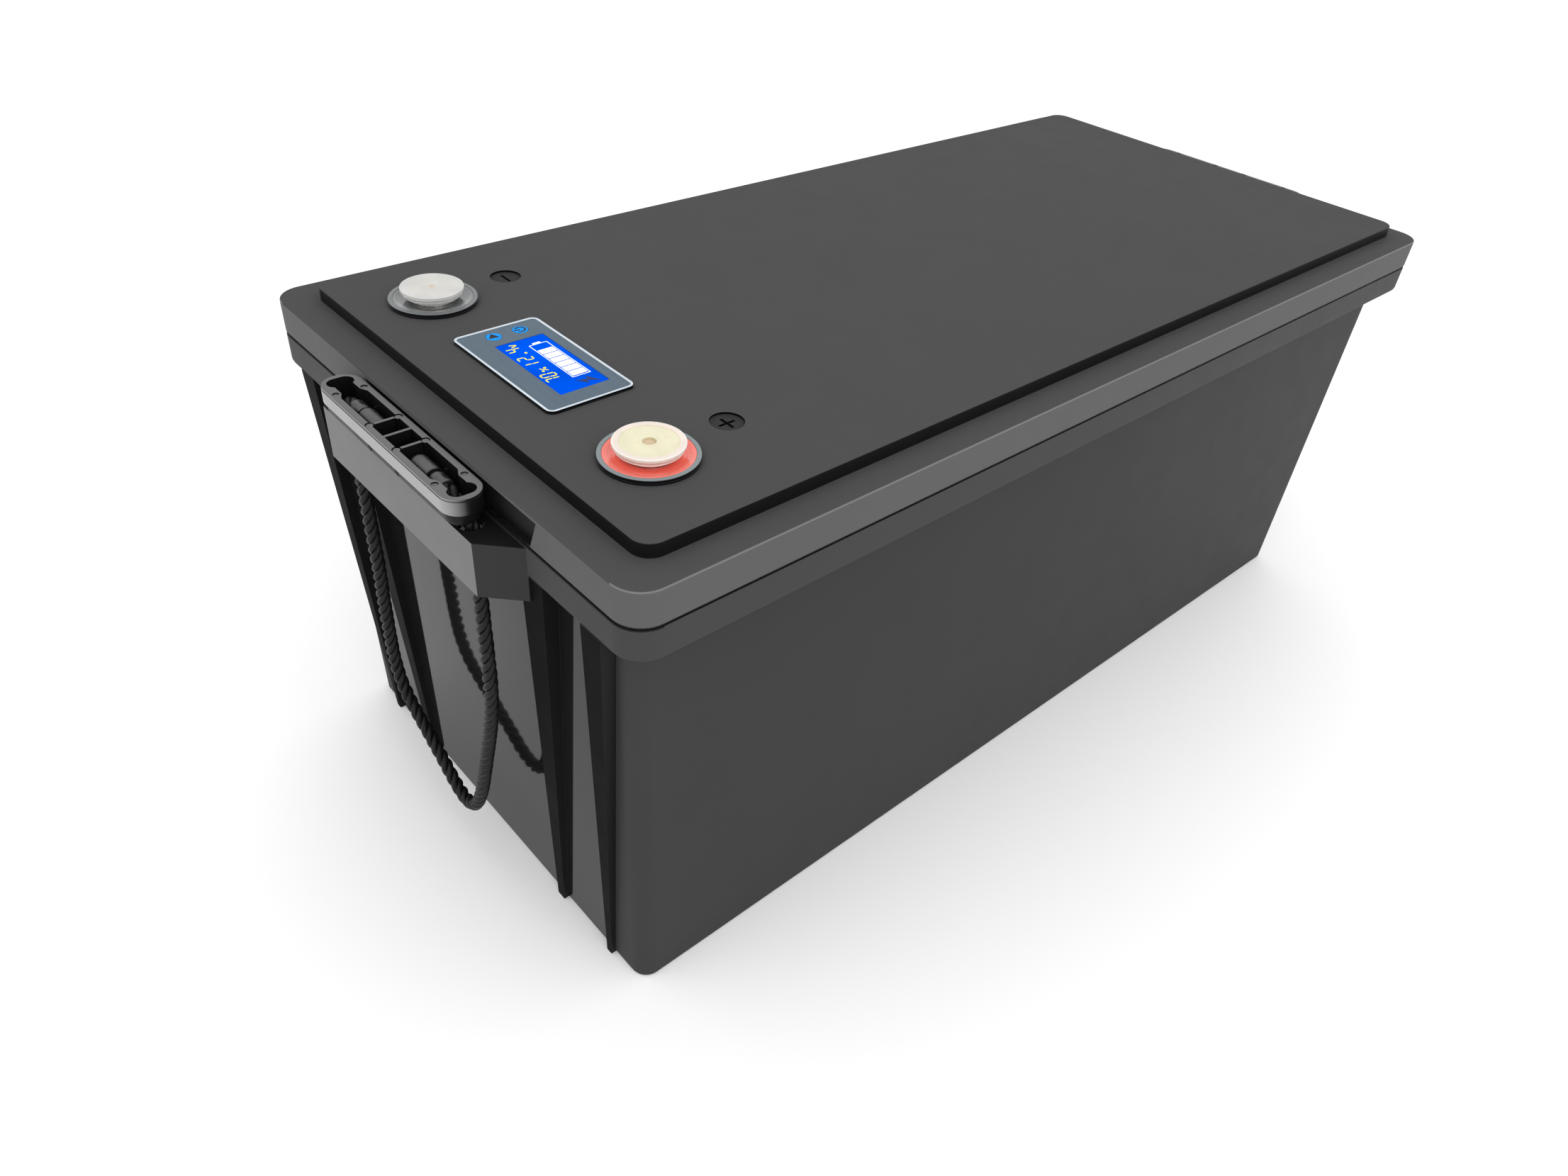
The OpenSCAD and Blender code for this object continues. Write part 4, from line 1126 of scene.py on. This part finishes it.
def cap_profile(dimple_r):
    """A collar, a tier with a thin lip, and a thumb disc with a sunk face if dimpled."""
    rim, low = CAP_TOP, CAP_LOW
    sunk = rim - (0.3 if dimple_r else 0.04)
    bore, tier, lip = POST_R + 0.2, CAP_TIER_R, CAP_TIER_LOW
    outer = [
        (bore, low), (CAP_WALL_R - 0.15, low), (CAP_WALL_R, low + 0.15),
        (CAP_WALL_R, lip - 0.02),
        *corner(tier, lip, (0.1, 0), (0, -0.08), (0, -0.24), (0.18, -0.34)),
        (tier - 0.18, CAP_TIER_Z - 0.02),
        *corner(CAP_R, CAP_TIER_Z, (0.25, 0), (0.04, -0.1), (0.12, -0.2)),
        *corner(CAP_R, rim, (0.12, 0.4), (0.02, 0.32), (0, 0.2), (0.08, 0.08), (0.25, 0.01),
                (0.45, 0), (0.6, 0.04)),
        (CAP_FACE_R, rim - 0.04), (CAP_FACE_R - 0.2, sunk),
    ]
    if dimple_r:
        floor_z = rim - DIMPLE_L
        middle = [
            *corner(dimple_r, sunk, (-1.1, 0), (-0.9, -0.14), (-0.2, -0.16), (0, -0.04)),
            (dimple_r - 0.1, floor_z), (0, floor_z),
        ]
    else:
        middle = [(GATE_R, sunk), (GATE_R - 0.15, sunk - 0.08), (0, sunk - 0.1)]
    return outer + middle + [(0, POST_TOP + 0.02), (bore, POST_TOP + 0.02)]


def knurls(angle, z):
    """Fine upright grip lines round the thumb disc."""
    if CAP_TIER_Z + 0.15 < z < CAP_TOP - 0.25:
        return 0.16 * (0.5 + 0.5 * math.cos(72 * angle))
    return 0


def make_cap(side, materials, dimple_r):
    """materials: the face, the rim, the edge, the tier and the middle; on the positive cap the
    rim is a painted highlight and the tier painted shade.
    """
    face, rim, edge, tier, gate = materials
    node = SIGNS[side] + "_cap"
    turning = lathe(cap_profile(dimple_r), 432, knurls if dimple_r else None)
    cap = solid_object(node + "_moulding", at_terminal(turning, side))
    gate_r = dimple_r - 0.15 if dimple_r else GATE_R

    def cap_zone(centre, normal):
        away = math.hypot(centre.x + TERM_X, centre.y - side * TERM_Y)
        # Under the disc the tier's thin lip takes the rim's look, a painted highlight on the
        # positive cap, and the rest the tier's, painted shade there
        if centre.z < CAP_TIER_Z - 0.05 and away > 5:
            return rim if CAP_TIER_LOW - 0.01 < centre.z < CAP_TIER_LOW + 0.3 else tier
        if away < gate_r:
            return gate
        # The top of the disc's rim: a painted highlight on the positive cap
        if away > CAP_R - 0.5 and centre.z > CAP_TOP - 0.35:
            return rim
        return edge if away > CAP_FACE_R - 0.15 else face

    install(cap, cap_zone, node + "_body", node)


for side, ring_material in ((-1, RING_GREY), (1, RING_DARK)):
    make_gasket(side)
    make_ring(side, ring_material)
    make_post(side)
make_seal(-1, SEAL_RED)
make_seal(1, SEAL_GREY)
make_cap(-1, (CAP_CREAM, CAP_RIM_HIGHLIGHT, CAP_EDGE, CAP_TIER, CAP_GATE), DIMPLE_R)
make_cap(1, (CAP_WHITE, CAP_WHITE, CAP_CLOUD, CAP_CLOUD, CAP_GATE), 0)


# ---- meter ----


def window_outline(extra=0):
    return rounded_outline(
        WINDOW_W + extra, WINDOW_L + extra, 0.5, (-WINDOW_X, WINDOW_Y), 5)


def pierced_plate(name, outline, holes, low, high):
    plate = solid_object(name, prism(outline, low, high))
    for hole in holes:
        combine(plate, prism(hole, low - 1, high + 1), "DIFFERENCE")
    return plate


def make_meter_gasket():
    outline = meter_outline(-0.3, METER_R + 0.3)
    hole = meter_outline(METER_HOLE_INSET, METER_HOLE_R)
    gasket = pierced_plate("meter_gasket_layer", outline, [hole], TOP_Z, BEZEL_Z)
    install(gasket, GASKET_BLACK, "battery", "meter_gasket", 0.12)


def bezel_zone(centre, normal):
    outside = beyond(centre.x + METER_X, centre.y - METER_Y, METER_W, METER_L, METER_R)
    return GASKET_BLACK if normal.z < 0.6 and outside > -0.2 else BEZEL


def make_bezel():
    outline, hole = meter_outline(0, METER_R), meter_outline(BEZEL_T, FASCIA_R)
    bezel = pierced_plate("meter_bezel_frame", outline, [hole], BEZEL_Z, BEZEL_TOP)
    install(bezel, bezel_zone, "battery", "meter_bezel", 0.15)


def make_fascia():
    holes = [window_outline()]
    for side in (-1, 1):
        holes.append(circle_outline(
            -BUTTON_X + side * BUTTON_GAP, BUTTON_Y, BUTTON_R + 0.15, 48))
    outline = meter_outline(BEZEL_T, FASCIA_R)
    fascia = pierced_plate("meter_fascia_film", outline, holes, BEZEL_Z, FASCIA_TOP)
    install(fascia, FASCIA, "battery", "meter_fascia", 0.1)


def make_display():
    """The window's glass on its wider carrier."""
    middle = BEZEL_Z - 0.05
    glass = solid_object("meter_display_glass", joined([
        prism(window_outline(), middle, DISPLAY_TOP),
        prism(window_outline(1.5), CARRIER_Z, middle),
    ]))
    install(glass, DISPLAY, "battery", "meter_display", 0.08)


SEGMENTS = {"7": "abc", "0": "abcdef", "1": "bc", "2": "abged", "4": "fgbc"}
SEGMENT_ENDS = {
    "a": ((0, 1), (1, 1)), "b": ((1, 1), (1, 0.5)), "c": ((1, 0.5), (1, 0)),
    "d": ((0, 0), (1, 0)), "e": ((0, 0), (0, 0.5)), "f": ((0, 0.5), (0, 1)),
    "g": ((0, 0.5), (1, 0.5)),
}
DIGIT_H, DIGIT_W, DIGIT_LINE, DIGIT_LEAN = 5.4, 2.3, 0.5, 0.1


def segment_bar(start, end, thick):
    """A bar between two points with pointed ends."""
    along = (end - start).normalized()
    across = Vector((-along.y, along.x)) * thick / 2
    tip = along * thick / 2
    gap = along * 0.12
    a, b = start + gap, end - gap
    return [a, a + tip - across, b - tip - across, b, b - tip + across, a + tip + across]


def digit(sign, u, v):
    """The lit segments of one figure of the display, leaning a little."""
    bars = []
    for name in SEGMENTS[sign]:
        ends = []
        for along, up in SEGMENT_ENDS[name]:
            rise = (up - 0.5) * DIGIT_H
            ends.append(Vector((u + (along - 0.5) * DIGIT_W + DIGIT_LEAN * rise, v + rise)))
        bars.append(segment_bar(*ends, DIGIT_LINE))
    return bars


def stroke(points, thick):
    """A bent line as separate bars."""
    return [segment_bar(Vector(a), Vector(b), thick) for a, b in zip(points, points[1:])]


def on_display(name, outlines, material):
    """Thin raised shapes on the glass; they read from the +X side, so up is -X."""
    solids = []
    for outline in outlines:
        points = [(-WINDOW_X - v, WINDOW_Y + u) for u, v in outline]
        solids.append(prism(points, DISPLAY_TOP - 0.02, DISPLAY_TOP + 0.06))
    attach(solid_object(name, joined(solids)), material, "battery")


def figures():
    """The charge in per cent, then the voltage, on one row."""
    row = 5.7
    foot = row - DIGIT_H / 2
    shapes = []
    for sign, u in (("7", -10.8), ("0", -7.0), ("1", 2.2), ("2", 7.7), ("4", 15.3)):
        shapes += digit(sign, u, row)
    point = rect(11.1, 12.1, foot - 0.3, foot + 0.6)
    per_cent = [
        *stroke([(-3.9, foot + 0.3), (-1.3, foot + 3.0)], 0.4),
        circle_outline(-3.5, foot + 2.5, 0.55, 16), circle_outline(-1.7, foot + 0.8, 0.55, 16),
    ]
    volt = stroke([(17.4, foot + 2.6), (18.5, foot - 0.2), (19.6, foot + 2.6)], 0.5)
    return [*shapes, point, *per_cent, *volt]


def battery_level():
    """The outline of a battery with its tip, and six bars in it."""
    left, right, low, high, edge = -13.0, 15.55, -7.9, -0.4, 0.3
    shapes = [
        rect(left, right, high - edge, high), rect(left, right, low, low + edge),
        rect(left, left + edge, low + edge, high - edge),
        rect(right - edge, right, low + edge, high - edge),
        rect(right, right + 1.15, low + 2.3, high - 2.0),
    ]
    count, first, last, gap = 6, -12.0, 11.2, 0.5
    pitch = (last - first) / count
    for i in range(count):
        start = first + i * pitch
        shapes.append(rect(start, start + pitch - gap, low + 0.65, high - 0.7))
    return shapes


BOLT = [(-15.3, 0), (-19.6, -3), (-17.3, -3.4), (-19.8, -7.6), (-14.3, -4.5), (-16.6, -4.0)]


def make_button(side, body, node, symbols):
    x, y = -BUTTON_X + side * BUTTON_GAP, BUTTON_Y
    top, r = BUTTON_TOP, BUTTON_R
    profile = [(0, BUTTON_LOW), (r, BUTTON_LOW), (r, top - 0.12), (r - 0.1, top - 0.02),
               (0, top - 0.02)]
    turning = moved(lathe(profile, 72), Matrix.Translation((x, y, 0)))
    button = solid_object(body + "_key", turning)
    install(button, BUTTON_BLUE, body, node)
    ink = solid_object(body + "_key_symbol", joined([
        prism([(x + dx, y + dy) for dx, dy in outline], top - 0.15, top + 0.03)
        for outline in symbols]))
    attach(ink, INK, body)


def power_symbol():
    """A ring open towards -X with an upright bar in the gap."""
    outer, inner, first, last, count = 2.15, 1.5, 222, 498, 22
    arcs = []
    for i in range(count):
        a, b = (math.radians(first + (last - first) * (i + k) / count) for k in (0, 1))
        corners = ((inner, a), (outer, a), (outer, b), (inner, b))
        arcs.append([(r * math.cos(angle), r * math.sin(angle)) for r, angle in corners])
    return arcs + [rect(-2.5, -0.2, -0.33, 0.33)]


def arrow_symbol():
    """A solid triangle that points across the button."""
    turn = math.radians(-37)
    along = Vector((math.cos(turn), math.sin(turn)))
    across = Vector((-along.y, along.x))
    tip, base, half = 2.2 * along, -1.35 * along, 1.9 * across
    return [[tuple(tip), tuple(base + half), tuple(base - half)]]


make_meter_gasket()
make_bezel()
make_fascia()
make_display()
on_display("meter_figures", figures(), YELLOW)
on_display("meter_battery_level", battery_level(), WHITE)
on_display("meter_bolt", [BOLT], NAVY)
make_button(1, "power_button", "meter_power_button", power_symbol())
make_button(-1, "arrow_button", "meter_arrow_button", arrow_symbol())


# ---- the model's own inner parts ----


INNER_PARTS = (
    (BLACK_RUBBER, "lid_seal base_pad"),
    (STEEL, "positive_nut negative_nut link_nuts bms_screws"),
    (HOUSING, "meter_housing"),
    (BOARD, "meter_board bms_board"),
    (SWITCH, "meter_switches bms_switches"),
    (CELL_FILM, "cell_1 cell_2 cell_3 cell_4"),
    (POST_METAL, "cell_posts"),
    (EPOXY, "cell_divider top_sheet"),
    (COPPER, "link_near link_far link_cross"),
    (PLATE, "end_plates bms_heatsink"),
    (BAND, "cell_bands"),
    (FOAM, "side_foam end_foam"),
    (BRASS, "bms_standoffs"),
    (CONNECTOR, "bms_connector"),
    (RIBBON, "balance_ribbon"),
    (BAR_RED, "positive_bar"),
    (BAR_BLACK, "negative_cell_bar negative_terminal_bar"),
)
for material, names in INNER_PARTS:
    for name in names.split():
        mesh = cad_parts[name].data
        mesh.materials.clear()
        mesh.materials.append(material)


# ---- studio ----


def make_floor():
    size = 12
    mesh = bpy.data.meshes.new("floor")
    mesh.from_pydata(
        [(-size, -size, 0), (size, -size, 0), (size, size, 0), (-size, size, 0)],
        [], [(0, 1, 2, 3)])
    mesh.materials.append(pale_floor("pale_floor"))
    floor = bpy.data.objects.new("floor", mesh)
    bpy.context.scene.collection.objects.link(floor)


def make_light(name, place, target, size, power):
    data = bpy.data.lights.new(name, "AREA")
    data.shape = "RECTANGLE"
    data.size, data.size_y = size
    data.energy = power
    light = bpy.data.objects.new(name, data)
    light.location = place
    aim = Vector(target) - Vector(place)
    light.rotation_euler = aim.to_track_quat("-Z", "Y").to_euler()
    bpy.context.scene.collection.objects.link(light)


def make_studio():
    bpy.context.scene.view_settings.view_transform = "Standard"
    world = bpy.data.worlds.new("studio")
    bpy.context.scene.world = world
    world.use_nodes = True
    world.node_tree.nodes["Background"].inputs["Color"].default_value = (1, 1, 1, 1)
    world.node_tree.nodes["Background"].inputs["Strength"].default_value = 1.18
    make_light("key", (-1.6, 0.3, 1.5), (-0.1, 0, 0.1), (1.4, 1.4), 2.5)
    make_light("fill", (-0.3, -1.8, 1.2), (0, 0, 0.1), (1.6, 1.0), 8)
    make_floor()


make_studio()
